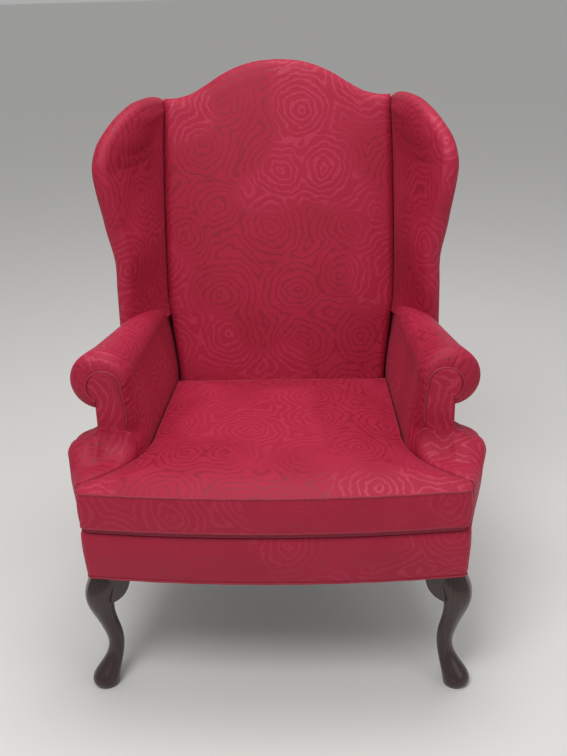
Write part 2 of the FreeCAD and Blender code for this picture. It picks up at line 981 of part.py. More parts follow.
def arm_tuck_rail():
    body = new_body("arm_tuck_rail")
    far = back_y(deck_top + 60, frame_front)

    top = deck_top + 48
    share = (top - arm_lower) / (arm_roll_z - arm_lower)

    def face(y, depth):
        centre, radius, inside, stuffing = arm_at(y)
        return mix(inside + stuffing, centre - radius + stuffing, share) + s.fit_gap * 2 + depth

    pad(body, "z", [
        (face(arm_post_rear, 0), arm_post_rear),
        (face(arm_post_rear, 22), arm_post_rear),
        (face(far, 22), far),
        (face(far, 0), far),
    ], deck_top + 14, top)
    pocket(body, "x", behind_back(frame_front), as_size(0), arm_roll_x * 2)
    keep_pair(body, "arm_tuck_rail")


arm_cover = inside_arm()
arm_rail()
outside_arm()
arm_post()
arm_tuck_rail()


# Arm fronts: the scroll-shaped panel, its welt, and the toe that it sweeps forward over.

def cushion_outline(z, inset):
    """Plan of the T cushion at height z: bowed front, short ears, hollow sides along the arms."""
    half = s.front_half_width - inset
    corner = s.ear_corner_radius - inset / 2
    bow_x = half - corner
    front = bow_y(bow_x, cushion_front) + inset
    ear = ear_back_y - inset
    side = s.cushion_side_gap + inset
    back = back_y(z, as_size(0)) - s.cushion_back_gap - inset
    right = [
        (bow_x, front, s.bow_radius),
        (half, front + corner, corner),
        (half, ear - corner * 0.8),
        (half - corner * 0.65, ear, corner),
        (arm_at(s.cushion_waist_y)[2] - side, s.cushion_waist_y, -(s.ear_curve + inset)),
        (arm_at(back)[2] - side, back),
    ]
    return both_sides(right)


def toe_outline(z):
    """Plan of the toe at height z: round the cushion's ear inside, to the side cover outside."""
    grow = -s.cushion_play
    inner = cushion_outline(z, grow)
    ear = inner[3]
    waist = inner[4]
    rear = s.arm_front_y + s.panel_thick + 30
    corner = s.arm_front_y - (s.arm_front_y - toe_front_y) * 0.55
    skin = s.cover_thick + s.fit_gap
    return [
        (ear[0] + 3, ear[1]),
        (side_x(s.arm_front_y, z, skin), corner),
        (side_x(s.arm_front_y, z, skin), s.arm_front_y),
        (side_x(rear, z, skin), rear),
        (waist[0] + 10, rear),
        (waist[0], waist[1]),
        ear[:2] + (s.ear_curve - s.cushion_play,),
    ]


def toe_top_cut():
    """Seen from the side: the air over the toe, down the face and out along the sweep."""
    face = s.arm_front_y
    high = arm_flare_z + s.sweep_rise * 2
    low = toe_top
    return [
        (face, high),
        (face, low + s.sweep_rise),
        (toe_front_y + 30, low + 3, -s.sweep_rise * 1.1),
        (toe_front_y - 20, low - 4),
        (toe_front_y - 20, high),
    ]


def arm_front_panel():
    body = new_body("arm_front_blank")
    low = rail_top + s.fit_gap
    high = toe_top + s.sweep_rise
    rear = s.arm_front_y + s.panel_thick
    loft(body, "z", [(low, toe_outline(low)), (high, toe_outline(high))], ruled=True)
    wide = arm_flare_x + 40
    pocket(body, "z", [(as_size(0), rear), (wide, rear), (wide, rear + 400), (as_size(0), rear + 400)],
           low - 1, high + 1)
    edge = outside_edge(rear, s.cover_thick + s.fit_gap)
    pocket(body, "y", [
        (edge[1][0], high + 5),
        edge[1][:2],
        edge[2],
        edge[3],
        (wide, edge[3][1]),
        (wide, high + 5),
    ], toe_front_y - 30, rear + 1)
    pocket(body, "x", toe_top_cut(), as_size(0), wide)
    path = scroll_path(s.welt_radius + s.fit_gap)
    neck = path[-1]
    pad(body, "y", path + [(neck[0], high)], s.arm_front_y, rear)
    keep_pair(cut_from("arm_front_panel", body, toe_surroundings()), "arm_front_panel")


def arm_panel_welt():
    body = new_body("arm_panel_welt")
    outer = scroll_path(-s.welt_radius)
    inner = reverse_edge(scroll_path(s.welt_radius))
    middle = s.arm_front_y + s.welt_radius
    pad(body, "y", outer + inner, middle - s.welt_radius * 2, middle)
    keep_pair(body, "arm_panel_welt")


TOE_STATIONS = (0, 0.12, 0.28, 0.46, 0.7, 1)


def toe_side(share, inset):
    """Edge of the side below the flare, a share of the way from the toe's front to the arm."""
    full = outside_edge(s.arm_front_y, as_size(0))
    end = s.front_half_width + s.side_proud
    spread = 1 - (1 - share) ** 2.6
    sink = (1 - spread) * 8
    shift = (arm_flare_x - end - 4) * (1 - spread)
    top_x = full[3][0] - shift - (full[3][0] - full[2][0]) * (0.5 + spread * 0.5)
    return [
        (top_x - inset * 0.4, full[2][1] - sink - inset),
        (full[3][0] - shift - inset, full[3][1] - sink - inset * 0.3, -s.flare_round),
        (mix(end, full[4][0], spread) - inset, s.rail_bottom),
    ]


def toe_depth(share):
    return mix(toe_front_y - 1, s.arm_front_y - s.fit_gap, share)


def side_cover():
    body = new_body("side_cover")
    sections = []
    for share in TOE_STATIONS:
        outer = toe_side(share, as_size(0))
        sections.append((toe_depth(share), outer + reverse_edge(toe_side(share, s.cover_thick))))
    loft(body, "y", sections, ruled=True)
    return keep_pair(body, "side_cover")


def toe_surroundings():
    """All that lies outside the side cover's inner face, for shaping the toe."""
    body = new_body("toe_surroundings")
    sections = []
    wide = arm_flare_x + 60
    high = toe_top + s.sweep_rise * 2
    for share in TOE_STATIONS:
        edge = toe_side(share, s.cover_thick + s.fit_gap)
        outline = [(edge[0][0], high)] + edge + [(wide, s.rail_bottom), (wide, high)]
        if share == 0:
            sections.append((toe_depth(share) - 40, outline))
        sections.append((toe_depth(share) + (s.fit_gap if share == 1 else 0), outline))
    loft(body, "y", sections, ruled=True)
    return body


arm_front_panel()
arm_panel_welt()
side_cover()


# Wings: stuffed boards that stand on the arms and curve forward from the back.

wing_half_bottom = s.rear_half_width + s.wing_reach_bottom
wing_half_full = s.rear_half_width + s.wing_reach_full
wing_nose_y = back_y(wing_bottom, as_size(0)) - s.wing_depth


def wing_nose(waist, top_share):
    """Outer x and y of the front edge: first the stretch to the full width, then the shoulder."""
    if top_share is None:
        return mix(wing_half_bottom, wing_half_full, waist), wing_nose_y
    turned = top_share ** s.wing_shoulder_power.value
    x = mix(wing_half_full, s.rear_half_width + s.wing_reach_top, turned)
    y = mix(wing_nose_y, back_y(wing_top, as_size(0)) - s.wing_top_depth, turned)
    return x, y


def eased(share):
    """Runs from 0 to 1 with a level start and end."""
    share = min(max(share, 0), 1)
    return share * share * (3 - 2 * share)


WING_RISE = (0, 0.16, 0.32, 0.44, 0.54, 0.64, 0.74, 0.86, 1)
WING_SHOULDER = (0.28, 0.46, 0.6, 0.72, 0.82, 0.91, 1)


def wing_heights():
    """Height, outer x and y of the wing's front edge at each of its stations.

    The edge draws in to a waist above the arm, swells to the full width and rounds its shoulder."""
    stations = []
    for up in WING_RISE:
        waist = 1.18 * eased((up - 0.3) / 0.7) - 0.18 * eased(up / 0.36)
        x, y = wing_nose(waist, None)
        stations.append((mix(wing_bottom, wing_full_z, up), x, y))
    for share in WING_SHOULDER:
        x, y = wing_nose(1, share)
        stations.append((mix(wing_full_z, wing_top, share), x, y))
    return stations


boarded = len(WING_RISE) + 1


def junction_x(z):
    share = (z - wing_bottom) / (wing_top - wing_bottom)
    return mix(back_wide_half, back_top_half, share) + s.fit_gap


def wing_section(z, outer_x, nose_y):
    """Plan of the stuffed wing: inner face, round nose, outer face, and its end at the post."""
    half = s.wing_thick / 2
    across = half * cos_of(s.wing_flare)
    along = half * sin_of(s.wing_flare)
    centre = outer_x - half
    return [
        (junction_x(z), back_y(z, s.back_pad)),
        (junction_x(z), back_y(z, as_size(0))),
        (centre - across, nose_y - along),
        (centre + along, nose_y - across, half),
        (centre + across, nose_y + along, half),
        (skin_x(z, outer_x, nose_y, back_y(z, s.back_pad)) - s.fit_gap, back_y(z, s.back_pad)),
    ]


def hollow_section(z, outer_x, nose_y):
    """Room behind the nose for the wing's boards, open to the outside."""
    half = s.wing_thick / 2
    wall = s.wing_pad
    inner = outer_x - half - half * cos_of(s.wing_flare) + wall
    front = nose_y + s.wing_pad
    return [
        (junction_x(z) + wall, back_y(z, frame_front) + 2),
        (junction_x(z) + wall, back_y(z, wall)),
        (inner, front),
        (outer_x + 10, front),
        (post_outer_x(z) + 30, back_y(z, frame_front) + 2),
    ]


def skin_x(z, outer_x, nose_y, y):
    """X of the inner face of the outside cover at depth y: straight from the nose to the post."""
    half = s.wing_thick / 2
    front_x = outer_x - half + half * cos_of(s.wing_flare) + s.fit_gap
    front_y = nose_y + half * sin_of(s.wing_flare) + s.fit_gap
    rear_x = post_outer_x(z) + s.fit_gap
    rear_y = back_y(z, frame_front)
    return front_x + (rear_x - front_x) * (y - front_y) / (rear_y - front_y)


def board_section(z, outer_x, nose_y):
    """The wing post: a board that follows the front edge inside the hollow."""
    half = s.wing_thick / 2
    wall = s.wing_pad + s.fit_gap
    inner = outer_x - half - half * cos_of(s.wing_flare) + wall
    front = nose_y + wall
    rear = front + s.wing_board
    gap = s.fit_gap * 2
    hollow = hollow_section(z, outer_x, nose_y)
    slope = (hollow[2][0] - hollow[1][0]) / (hollow[1][1] - hollow[2][1])
    return [
        (inner, front),
        (skin_x(z, outer_x, nose_y, front) - gap, front),
        (skin_x(z, outer_x, nose_y, rear) - gap, rear),
        (inner + s.fit_gap - (s.wing_board + s.fit_gap) * slope, rear),
    ]


def skin_section(z, outer_x, nose_y):
    """The outside cover, from behind the nose to the back edge of the post."""
    front_y = nose_y + s.wing_thick / 2 * sin_of(s.wing_flare) + s.fit_gap
    front_x = skin_x(z, outer_x, nose_y, front_y)
    thick = s.cover_thick
    rear_x = post_outer_x(z) + s.fit_gap
    return [
        (front_x, front_y),
        (front_x + thick * 0.5, front_y),
        (rear_x + thick, back_y(z, frame_rear)),
        (rear_x, back_y(z, frame_rear)),
        (rear_x, back_y(z, frame_front)),
    ]


def inside_wing():
    body = new_body("inside_wing_blank")
    loft(body, "z", [(z, wing_section(z, x, y)) for z, x, y in wing_heights()], ruled=True)
    foot = hollow_section(wing_bottom, wing_half_bottom, wing_nose_y)
    lower = [(wing_bottom - 2, foot), (wing_bottom, foot)]
    inner = [(z, hollow_section(z, x, y)) for z, x, y in wing_heights()[1:boarded + 2]]
    loft(body, "z", lower + inner, ruled=True, cut=True)
    piece = cut_from("inside_wing", body, arm_core)
    return keep_pair(piece, "inside_wing")


def outside_wing():
    body = new_body("outside_wing_blank")
    loft(body, "z", [(z, skin_section(z, x, y)) for z, x, y in wing_heights()], ruled=True)
    piece = cut_from("outside_wing", body, arm_core)
    return keep_pair(piece, "outside_wing")


def wing_post():
    body = new_body("wing_post_blank")
    loft(body, "z", [(z, board_section(z, x, y)) for z, x, y in wing_heights()[:boarded]], ruled=True)
    piece = cut_from("wing_post", body, arm_core)
    return keep_pair(piece, "wing_post")


def wing_rail():
    body = new_body("wing_rail")
    z, x, y = wing_heights()[boarded - 1]
    top = z - 1
    low = top - s.rail_thick
    board = board_section(z, x, y)
    inner = junction_x(z) + s.wing_pad + 3
    rear = back_y(low, frame_front) - s.fit_gap
    front = board[2][1] + s.fit_gap
    pad(body, "z", [
        (board[3][0] + 1, front),
        (skin_x(z, x, y, front) - s.cover_thick / 2, front),
        (skin_x(z, x, y, rear) - s.cover_thick / 2, rear),
        (inner, rear),
        (inner, back_y(z, s.wing_pad) + 2),
    ], low, top)
    return keep_pair(body, "wing_rail")


core = new_body("arm_core")
loft(core, "y", [(s.arm_front_y, arm_core_section(s.arm_front_y)),
                 (arm_far + 60, arm_core_section(arm_far + 60))], ruled=True)
arm_core = core

inside_wing()
outside_wing()
wing_post()
wing_rail()


# Seat front: the stuffed border over the bowed rail, and the welt along its lower edge.

def border_section(swell, half):
    corner = s.ear_corner_radius * 0.8
    front = bow_y(half - corner, s.front_corner_y) - swell
    rear = s.front_corner_y + s.border_thick
    outline = both_sides([
        (half - corner, front, s.bow_radius),
        (half, front + corner, corner),
        (half, rear),
    ])
    outline[3] = outline[3][:2] + (-s.bow_radius,)
    return outline


def front_border():
    body = new_body("front_border")
    rise = border_top - s.rail_bottom
    swell = s.border_swell
    half = s.front_half_width
    loft(body, "z", [
        (s.rail_bottom, border_section(as_size(0), half)),
        (s.rail_bottom + rise * 0.3, border_section(swell * 0.45, half + 2)),
        (s.rail_bottom + rise * 0.7, border_section(swell * 0.9, half + 4)),
        (s.rail_bottom + rise * 0.9, border_section(swell, half + 4)),
        (border_top, border_section(swell * 0.5, half - 2)),
    ])
    keep(body, "front_border")


def base_welt():
    ring = doc.addObject("Part::Torus", "base_welt")
    ring.Radius1 = s.bow_radius.value
    ring.setExpression("Radius1", s.bow_radius.text)
    ring.Radius2 = s.welt_radius.value
    ring.setExpression("Radius2", s.welt_radius.text)
    spread = math.degrees(math.asin((s.front_half_width.value - 8) / s.bow_radius.value))
    ring.Angle3 = spread * 2
    middle_y = bow_y(as_size(0), s.front_corner_y).value + s.bow_radius.value
    height = s.rail_bottom.value - s.welt_radius.value - s.fit_gap.value
    ring.Placement = Placement(Vector(0, middle_y + 2, height),
                               Rotation(Vector(0, 0, 1), -90 - spread))
    keep(ring, "base_welt")


front_border()
base_welt()


# Seat: sinuous springs clipped to the rails, a deck pad over them, a dust cover below.

SPRING_COLUMNS = (-2, -1, 0, 1, 2)


def ribbon(points, width):
    """Flat strip of a given width along a bent line, mitred at its corners."""
    sides = ([], [])
    for index, point in enumerate(points):
        arriving = point - points[max(index - 1, 0)]
        leaving = points[min(index + 1, len(points) - 1)] - point
        arriving = arriving.normalize() if index > 0 else leaving.normalize()
        leaving = leaving.normalize() if index < len(points) - 1 else arriving
        along = (arriving + leaving).normalize()
        across = Vector(-along.y, along.x, 0)
        stretch = width / 2 / abs(across.dot(Vector(-arriving.y, arriving.x, 0)))
        sides[0].append(point + across * stretch)
        sides[1].append(point - across * stretch)
    outline = sides[0] + sides[1][::-1]
    return Part.Face(Part.makePolygon(outline + outline[:1]))


def seat_springs():
    """Sinuous wire springs, each one flat zigzag with clipped corners from rail to rail."""
    members = []
    wire = s.spring_wire.value
    low = (rail_top + s.fit_gap).value
    start = (rail_back_y - 20).value
    end = (back_y(rail_top, frame_front) + 20).value
    crossings = round((end - start) / s.spring_pitch.value)
    pitch = (end - start) / crossings
    clip = pitch * 0.3
    reach = s.spring_loop.value / 2
    for column in SPRING_COLUMNS:
        middle = s.spring_spacing.value * column
        points = []
        side = 1
        for crossing in range(crossings):
            y = start + pitch * (crossing + 0.5)
            points += [
                Vector(middle - side * reach, y - pitch / 2 + clip, low),
                Vector(middle - side * (reach - clip), y, low),
                Vector(middle + side * (reach - clip), y, low),
                Vector(middle + side * reach, y + clip, low),
            ]
            side = -side
        spring = doc.addObject("Part::Feature", "seat_spring")
        spring.Shape = ribbon(points[1:-1], wire).extrude(Vector(0, 0, wire))
        members.append(spring)
    group("seat_springs", members)


def spring_clips():
    members = []
    low = rail_top + s.spring_wire + s.fit_gap * 2
    for column in SPRING_COLUMNS:
        middle = s.spring_spacing * column
        for y in (rail_back_y - 13, back_y(rail_top, frame_front) + 1):
            body = new_body("spring_clip")
            pad(body, "z", [(middle - 34, y), (middle + 34, y), (middle + 34, y + 12), (middle - 34, y + 12)],
                low, low + 2)
            members.append(body)
    group("spring_clips", members)


def seat_deck():
    body = new_body("seat_deck")
    low = rail_top + s.spring_wire + s.fit_gap * 3 + 2
    lip = border_top + s.fit_gap
    outline = cushion_outline(cushion_bottom, s.deck_inset)
    pad(body, "z", outline, lip, deck_top)
    front = bow_y(post_inner, s.front_corner_y) + s.border_thick + s.fit_gap
    half = outline[5][0]
    pad(body, "z", [
        (half, front),
        (half, outline[5][1]),
        (-half, outline[5][1]),
        (-half, front),
    ], low, lip)
    keep(body, "seat_deck")


def dust_cover():
    body = new_body("dust_cover")
    high = s.rail_bottom - s.fit_gap
    front = bow_y(post_inner, s.front_corner_y) + s.border_thick + 4
    rear = back_y(s.rail_bottom, frame_front) - 2
    inner = post_inner - 22
    pad(body, "z", both_sides([
        (inner, front),
        (inner, post_rear + 24),
        (post_outer - 4, post_rear + 24),
        (side_rail_x(rear, False) - 4, rear),
    ]), high - 1.5, high)
    keep(body, "dust_cover")


seat_springs()
spring_clips()
seat_deck()
dust_cover()


# Loose seat cushion: foam core in a boxed cover with welted edges.

def crown_outline(z, crown):
    """Cushion plan drawn in for the crowned top: sides most, front and ears less."""
    outline = cushion_outline(z, s.welt_radius)
    shifts = [
        (-crown, crown * 0.35),
        (-crown, crown * 0.35),
        (-crown, crown * 0.16),
        (-crown, crown * 0.16),
        (-crown, as_size(0)),
        (-crown, crown * -0.6),
    ]
    right = []
    for corner, (dx, dy) in zip(outline[:6], shifts):
        right.append((corner[0] + dx, corner[1] + dy) + corner[2:])
    return both_sides(right)


lower_seam = cushion_bottom + s.welt_radius
upper_seam = cushion_bottom + s.cushion_side


def cushion():
    bottom = cushion_bottom
    middle = (lower_seam + upper_seam) / 2
    edge = s.welt_radius

    under = new_body("cushion_bottom_panel")
    loft(under, "z", [
        (bottom, cushion_outline(bottom, edge * 3)),
        (lower_seam, cushion_outline(lower_seam, edge)),
    ], ruled=True)
    keep(under, "cushion_bottom_panel")

    boxing = new_body("cushion_boxing")
    loft(boxing, "z", [
        (lower_seam, cushion_outline(lower_seam, edge)),
        (middle, cushion_outline(middle, edge + s.boxing_draw)),
        (upper_seam, cushion_outline(upper_seam, edge)),
    ], ruled=True)
    wall = edge + s.foam_wall
    loft(boxing, "z", [
        (lower_seam, cushion_outline(lower_seam, wall)),
        (upper_seam, cushion_outline(upper_seam, wall)),
    ], ruled=True, cut=True)
    keep(boxing, "cushion_boxing")

    foam = new_body("cushion_core")
    loft(foam, "z", [
        (lower_seam, cushion_outline(lower_seam, wall + s.fit_gap)),
        (upper_seam, cushion_outline(upper_seam, wall + s.fit_gap)),
    ], ruled=True)
    keep(foam, "cushion_core")

    top = new_body("cushion_top_panel")
    crown = s.cushion_crown
    spread = s.crown_spread
    sections = []
    for rise, share in ((0, 0), (0.22, 0.02), (0.45, 0.1), (0.72, 0.32), (0.92, 0.66), (1, 1)):
        height = upper_seam + crown * rise
        sections.append((height, crown_outline(height, spread * share)))
    loft(top, "z", sections, ruled=True)
    keep(top, "cushion_top_panel")


def cushion_welt(label, height):
    """Covered cord sewn in the seam, round the whole cushion."""
    body = new_body(label)
    radius = s.welt_radius
    pad(body, "z", cushion_outline(height, as_size(0)), height - radius, height + radius)
    pocket(body, "z", cushion_outline(height, radius - s.fit_gap), height - radius * 2, height + radius * 2)
    keep(body, label)


cushion()
cushion_welt("cushion_top_welt", upper_seam)
cushion_welt("cushion_bottom_welt", lower_seam)

doc.recompute()
faults = []
for item in doc.Objects:
    if "Invalid" in item.State or "Error" in item.State:
        faults.append("%s %s" % (item.Label, item.State))
for label, piece in pieces.items():
    shape = piece.Shape
    if shape.isNull() or not shape.isValid() or not shape.Solids:
        faults.append(label + " has no valid solid")
if faults:
    raise RuntimeError("; ".join(faults))
os.makedirs("parts", exist_ok=True)
for label, piece in pieces.items():
    piece.Shape.exportStep("parts/%s.step" % label)
print(len(pieces), "sub-parts written")
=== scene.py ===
import json
import math

import bmesh
import bpy
import numpy as np
from mathutils import Matrix, Vector


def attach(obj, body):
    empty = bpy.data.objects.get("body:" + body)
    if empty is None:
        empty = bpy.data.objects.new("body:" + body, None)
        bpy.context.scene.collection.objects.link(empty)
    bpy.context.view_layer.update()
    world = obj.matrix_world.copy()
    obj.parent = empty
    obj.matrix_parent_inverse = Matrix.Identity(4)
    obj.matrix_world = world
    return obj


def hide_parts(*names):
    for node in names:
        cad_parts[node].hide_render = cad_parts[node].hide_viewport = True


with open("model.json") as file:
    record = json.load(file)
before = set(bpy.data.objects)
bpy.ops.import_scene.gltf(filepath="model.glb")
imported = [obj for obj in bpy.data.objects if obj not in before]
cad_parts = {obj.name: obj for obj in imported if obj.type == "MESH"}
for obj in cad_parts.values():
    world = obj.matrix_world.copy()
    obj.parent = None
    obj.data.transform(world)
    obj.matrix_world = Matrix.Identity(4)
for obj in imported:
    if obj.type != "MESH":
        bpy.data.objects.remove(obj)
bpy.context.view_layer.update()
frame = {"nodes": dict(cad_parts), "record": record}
nodes = frame["nodes"]


# Camera: where the photograph was taken from, a little above the crest and nearly square on.
# Its place is in metres, its turns are in radians, and its focal length is in picture heights.

CAMERA_PLACE = Vector((0.0802, -1.8251, 1.2783))
YAW, PITCH, ROLL = -0.0384, 0.3920, 0.0266
FOCAL_LENGTH = 929.45 / 756
SENSOR = 36


def set_camera():
    ahead = Vector((math.sin(YAW) * math.cos(PITCH), math.cos(YAW) * math.cos(PITCH), -math.sin(PITCH)))
    right = Vector((math.cos(YAW), -math.sin(YAW), 0))
    down = ahead.cross(right)
    image_right = math.cos(ROLL) * right + math.sin(ROLL) * down
    image_down = -math.sin(ROLL) * right + math.cos(ROLL) * down
    lens = bpy.data.cameras.new("camera")
    lens.sensor_width = SENSOR
    lens.lens = FOCAL_LENGTH * SENSOR
    eye = bpy.data.objects.new("camera", lens)
    turn = Matrix((image_right, -image_down, -ahead)).transposed()
    eye.matrix_world = Matrix.Translation(CAMERA_PLACE) @ turn.to_4x4()
    bpy.context.scene.collection.objects.link(eye)
    bpy.context.scene.camera = eye


set_camera()


# Covering: a crimson damask woven tone on tone, with roses drawn in wavy contour lines. The lines are
# floats of shinier thread, coloured with painted sheen in broad patches and painted shade between them.

GROUND_DEEP = (0.35, 0.008, 0.034, 1)
GROUND_BRIGHT = (0.45, 0.014, 0.054, 1)
# the figure lines' two colours: a painted shade and a painted sheen
FIGURE_PAINTED_SHADE = (0.20, 0.004, 0.014, 1)
FIGURE_PAINTED_SHEEN = (0.56, 0.040, 0.100, 1)
SHEEN_PINK = (1.0, 0.35, 0.48, 1)
ROSES_PER_METRE = 7.6
RINGS_PER_ROSE_STEP = 9.6


def new_material(name):
    material = bpy.data.materials.new(name)
    material.use_nodes = True
    tree = material.node_tree
    tree.nodes.clear()
    shader = tree.nodes.new("ShaderNodeBsdfPrincipled")
    out = tree.nodes.new("ShaderNodeOutputMaterial")
    tree.links.new(shader.outputs[0], out.inputs[0])
    return material, tree, shader


def set_inputs(node, values):
    for key, value in values.items():
        node.inputs[key].default_value = value


def add(tree, kind, values=None, **settings):
    """A new node, with its settings first and then the values of its inputs."""
    node = tree.nodes.new(kind)
    for key, value in settings.items():
        setattr(node, key, value)
    set_inputs(node, values or {})
    return node


def math_node(tree, operation, first, second=None):
    """The output of a Math node on two sockets or numbers."""
    node = add(tree, "ShaderNodeMath", operation=operation)
    for number, value in enumerate((first, second)):
        if isinstance(value, (int, float)):
            node.inputs[number].default_value = value
        elif value is not None:
            tree.links.new(value, node.inputs[number])
    return node.outputs[0]


def colour_mix(tree, first, second, share):
    """The colour that lies between two colours or colour sockets, by a mask socket."""
    node = add(tree, "ShaderNodeMix", data_type="RGBA")
    for name, value in (("A", first), ("B", second)):
        if isinstance(value, tuple):
            node.inputs[name].default_value = value
        else:
            tree.links.new(value, node.inputs[name])
    tree.links.new(share, node.inputs["Factor"])
    return node.outputs["Result"]


def bump_from(tree, shader, height, strength, distance):
    node = add(tree, "ShaderNodeBump", {"Strength": strength, "Distance": distance})
    tree.links.new(height, node.inputs["Height"])
    tree.links.new(node.outputs[0], shader.inputs["Normal"])


def rose_group():
    """Node group: contour lines round scattered roses. Place in metres in, four masks out."""
    group = bpy.data.node_groups.new("contour_roses", "ShaderNodeTree")
    group.interface.new_socket("Where", in_out="INPUT", socket_type="NodeSocketVector")
    for mask in ("Figure", "Weave", "Mottle", "PaintedSheen"):
        group.interface.new_socket(mask, in_out="OUTPUT", socket_type="NodeSocketFloat")
    start = group.nodes.new("NodeGroupInput")
    end = group.nodes.new("NodeGroupOutput")
    link = group.links.new
    where = start.outputs["Where"]
    # a slow drift of the roses, then the bends of their lines, then the small zigzags
    for scale, amount, seed in ((8, 0.040, 2.0), (34, 0.023, 7.0), (105, 0.011, 4.0)):
        noise = add(group, "ShaderNodeTexNoise", noise_dimensions="4D")
        set_inputs(noise, {"Scale": scale, "Detail": 1.0, "W": seed})
        centre = add(group, "ShaderNodeVectorMath", {1: (0.5, 0.5, 0.5)}, operation="SUBTRACT")
        size = add(group, "ShaderNodeVectorMath", {"Scale": amount}, operation="SCALE")
        total = add(group, "ShaderNodeVectorMath", operation="ADD")
        link(where, noise.inputs["Vector"])
        link(noise.outputs["Color"], centre.inputs[0])
        link(centre.outputs[0], size.inputs[0])
        link(where, total.inputs[0])
        link(size.outputs[0], total.inputs[1])
        where = total.outputs[0]
    roses = add(group, "ShaderNodeTexVoronoi", voronoi_dimensions="2D", feature="SMOOTH_F1")
    set_inputs(roses, {"Scale": ROSES_PER_METRE, "Smoothness": 0.22, "Randomness": 0.8})
    link(where, roses.inputs["Vector"])
    rings = math_node(group, "MULTIPLY", roses.outputs["Distance"], RINGS_PER_ROSE_STEP)
    middle = math_node(group, "SUBTRACT", math_node(group, "FRACT", rings), 0.5)
    line = add(group, "ShaderNodeMapRange", interpolation_type="SMOOTHSTEP")
    set_inputs(line, {"From Min": 0.10, "From Max": 0.21, "To Min": 1, "To Max": 0})
    link(math_node(group, "ABSOLUTE", middle), line.inputs["Value"])
    link(line.outputs[0], end.inputs["Figure"])
    threads = []
    for axis, bands_per_metre in (("X", 75), ("Y", 65)):
        bands = add(group, "ShaderNodeTexWave", wave_type="BANDS", bands_direction=axis)
        set_inputs(bands, {"Scale": bands_per_metre, "Distortion": 0.6})
        link(start.outputs["Where"], bands.inputs["Vector"])
        threads.append(bands.outputs["Fac"])
    link(math_node(group, "MULTIPLY", threads[0], threads[1]), end.inputs["Weave"])
    cloud = add(group, "ShaderNodeTexNoise", {"Scale": 11, "Detail": 4})
    link(start.outputs["Where"], cloud.inputs["Vector"])
    link(cloud.outputs["Fac"], end.inputs["Mottle"])
    # broad patches where the figure lines get painted sheen, with painted shade between them
    sheen_paint = add(group, "ShaderNodeTexNoise", {"Scale": 3.4, "Detail": 1})
    link(start.outputs["Where"], sheen_paint.inputs["Vector"])
    spread = add(group, "ShaderNodeMapRange", interpolation_type="SMOOTHSTEP")
    set_inputs(spread, {"From Min": 0.47, "From Max": 0.55})
    link(sheen_paint.outputs["Fac"], spread.inputs["Value"])
    link(spread.outputs[0], end.inputs["PaintedSheen"])
    return group


roses = rose_group()


def damask(name, strength):
    """The damask itself; strength is how clearly its figure shows."""
    material, tree, shader = new_material(name)
    link = tree.links.new
    place = add(tree, "ShaderNodeUVMap", uv_map="cloth")
    figure = add(tree, "ShaderNodeGroup", node_tree=roses)
    link(place.outputs[0], figure.inputs["Where"])
    ground = colour_mix(tree, GROUND_DEEP, GROUND_BRIGHT, figure.outputs["Mottle"])
    # the figure lines' colour: painted sheen in some patches, painted shade in others
    sheen_paint = colour_mix(tree, FIGURE_PAINTED_SHADE, FIGURE_PAINTED_SHEEN, figure.outputs["PaintedSheen"])
    tone = colour_mix(tree, ground, sheen_paint, math_node(tree, "MULTIPLY", figure.outputs["Figure"], strength))
    shade = add(tree, "ShaderNodeMapRange", {"To Min": 0.72, "To Max": 1.12})
    link(figure.outputs["Weave"], shade.inputs["Value"])
    thread = add(tree, "ShaderNodeMix", data_type="RGBA", blend_type="MULTIPLY")
    thread.inputs["Factor"].default_value = 0.35
    link(tone, thread.inputs["A"])
    link(shade.outputs[0], thread.inputs["B"])
    link(thread.outputs["Result"], shader.inputs["Base Color"])
    rough = add(tree, "ShaderNodeMapRange", {"To Min": 0.64, "To Max": 0.50})
    link(figure.outputs["Figure"], rough.inputs["Value"])
    link(rough.outputs[0], shader.inputs["Roughness"])
    set_inputs(shader, {"Specular IOR Level": 0.28, "Sheen Weight": 0.06, "Sheen Roughness": 0.5,
                        "Sheen Tint": SHEEN_PINK})
    raised = math_node(tree, "MULTIPLY", figure.outputs["Figure"], 0.5)
    height = math_node(tree, "ADD", raised, figure.outputs["Weave"])
    bump_from(tree, shader, height, 0.35, 0.0003)
    return material


cloth = damask("damask", 0.45)
quiet_cloth = damask("damask_quiet", 0.2)


# Back: a tall stuffed panel of wadding and cloth over the webbed frame, crowned in the middle. Its
# sides are rounded, and its arched top is rolled backwards and tacked to the crest rail.

RAKE = math.radians(12.8)
SEAT_REAR_Y, SEAT_REAR_Z = 151.8, 465
BACK_ROUNDING, CREST_ROUNDING = 20.0, 25.0
BACK_DEPTH = 88.0
BACK_CROWN, LUMBAR_SWELL = 10, 4


def smooth_step(value):
    value = np.clip(value, 0, 1)
    return value * value * (3 - 2 * value)


def blend_weights(share):
    """Weights of a curve's start, its start slope, its end and its end slope."""
    square, cube = share ** 2, share ** 3
    return 2 * cube - 3 * square + 1, cube - 2 * square + share, 3 * square - 2 * cube, cube - square


def through(keys, values, wanted):
    """Smooth monotone curve through given points, worked out at the wanted places."""
    keys, values = np.asarray(keys, float), np.asarray(values, float)
    step = np.diff(keys)
    slope = np.diff(values) / step
    tangent = np.zeros(len(keys))
    tangent[0], tangent[-1] = slope[0], slope[-1]
    for index in range(1, len(keys) - 1):
        before, after = slope[index - 1], slope[index]
        if before * after > 0:
            tangent[index] = 2 * before * after / (before + after)
    wanted = np.asarray(wanted, float)
    place = np.clip(np.searchsorted(keys, wanted) - 1, 0, len(step) - 1)
    share = np.clip((wanted - keys[place]) / step[place], 0, 1)
    width = step[place]
    start, start_slope, end, end_slope = blend_weights(share)
    return (start * values[place] + start_slope * width * tangent[place]
            + end * values[place + 1] + end_slope * width * tangent[place + 1])


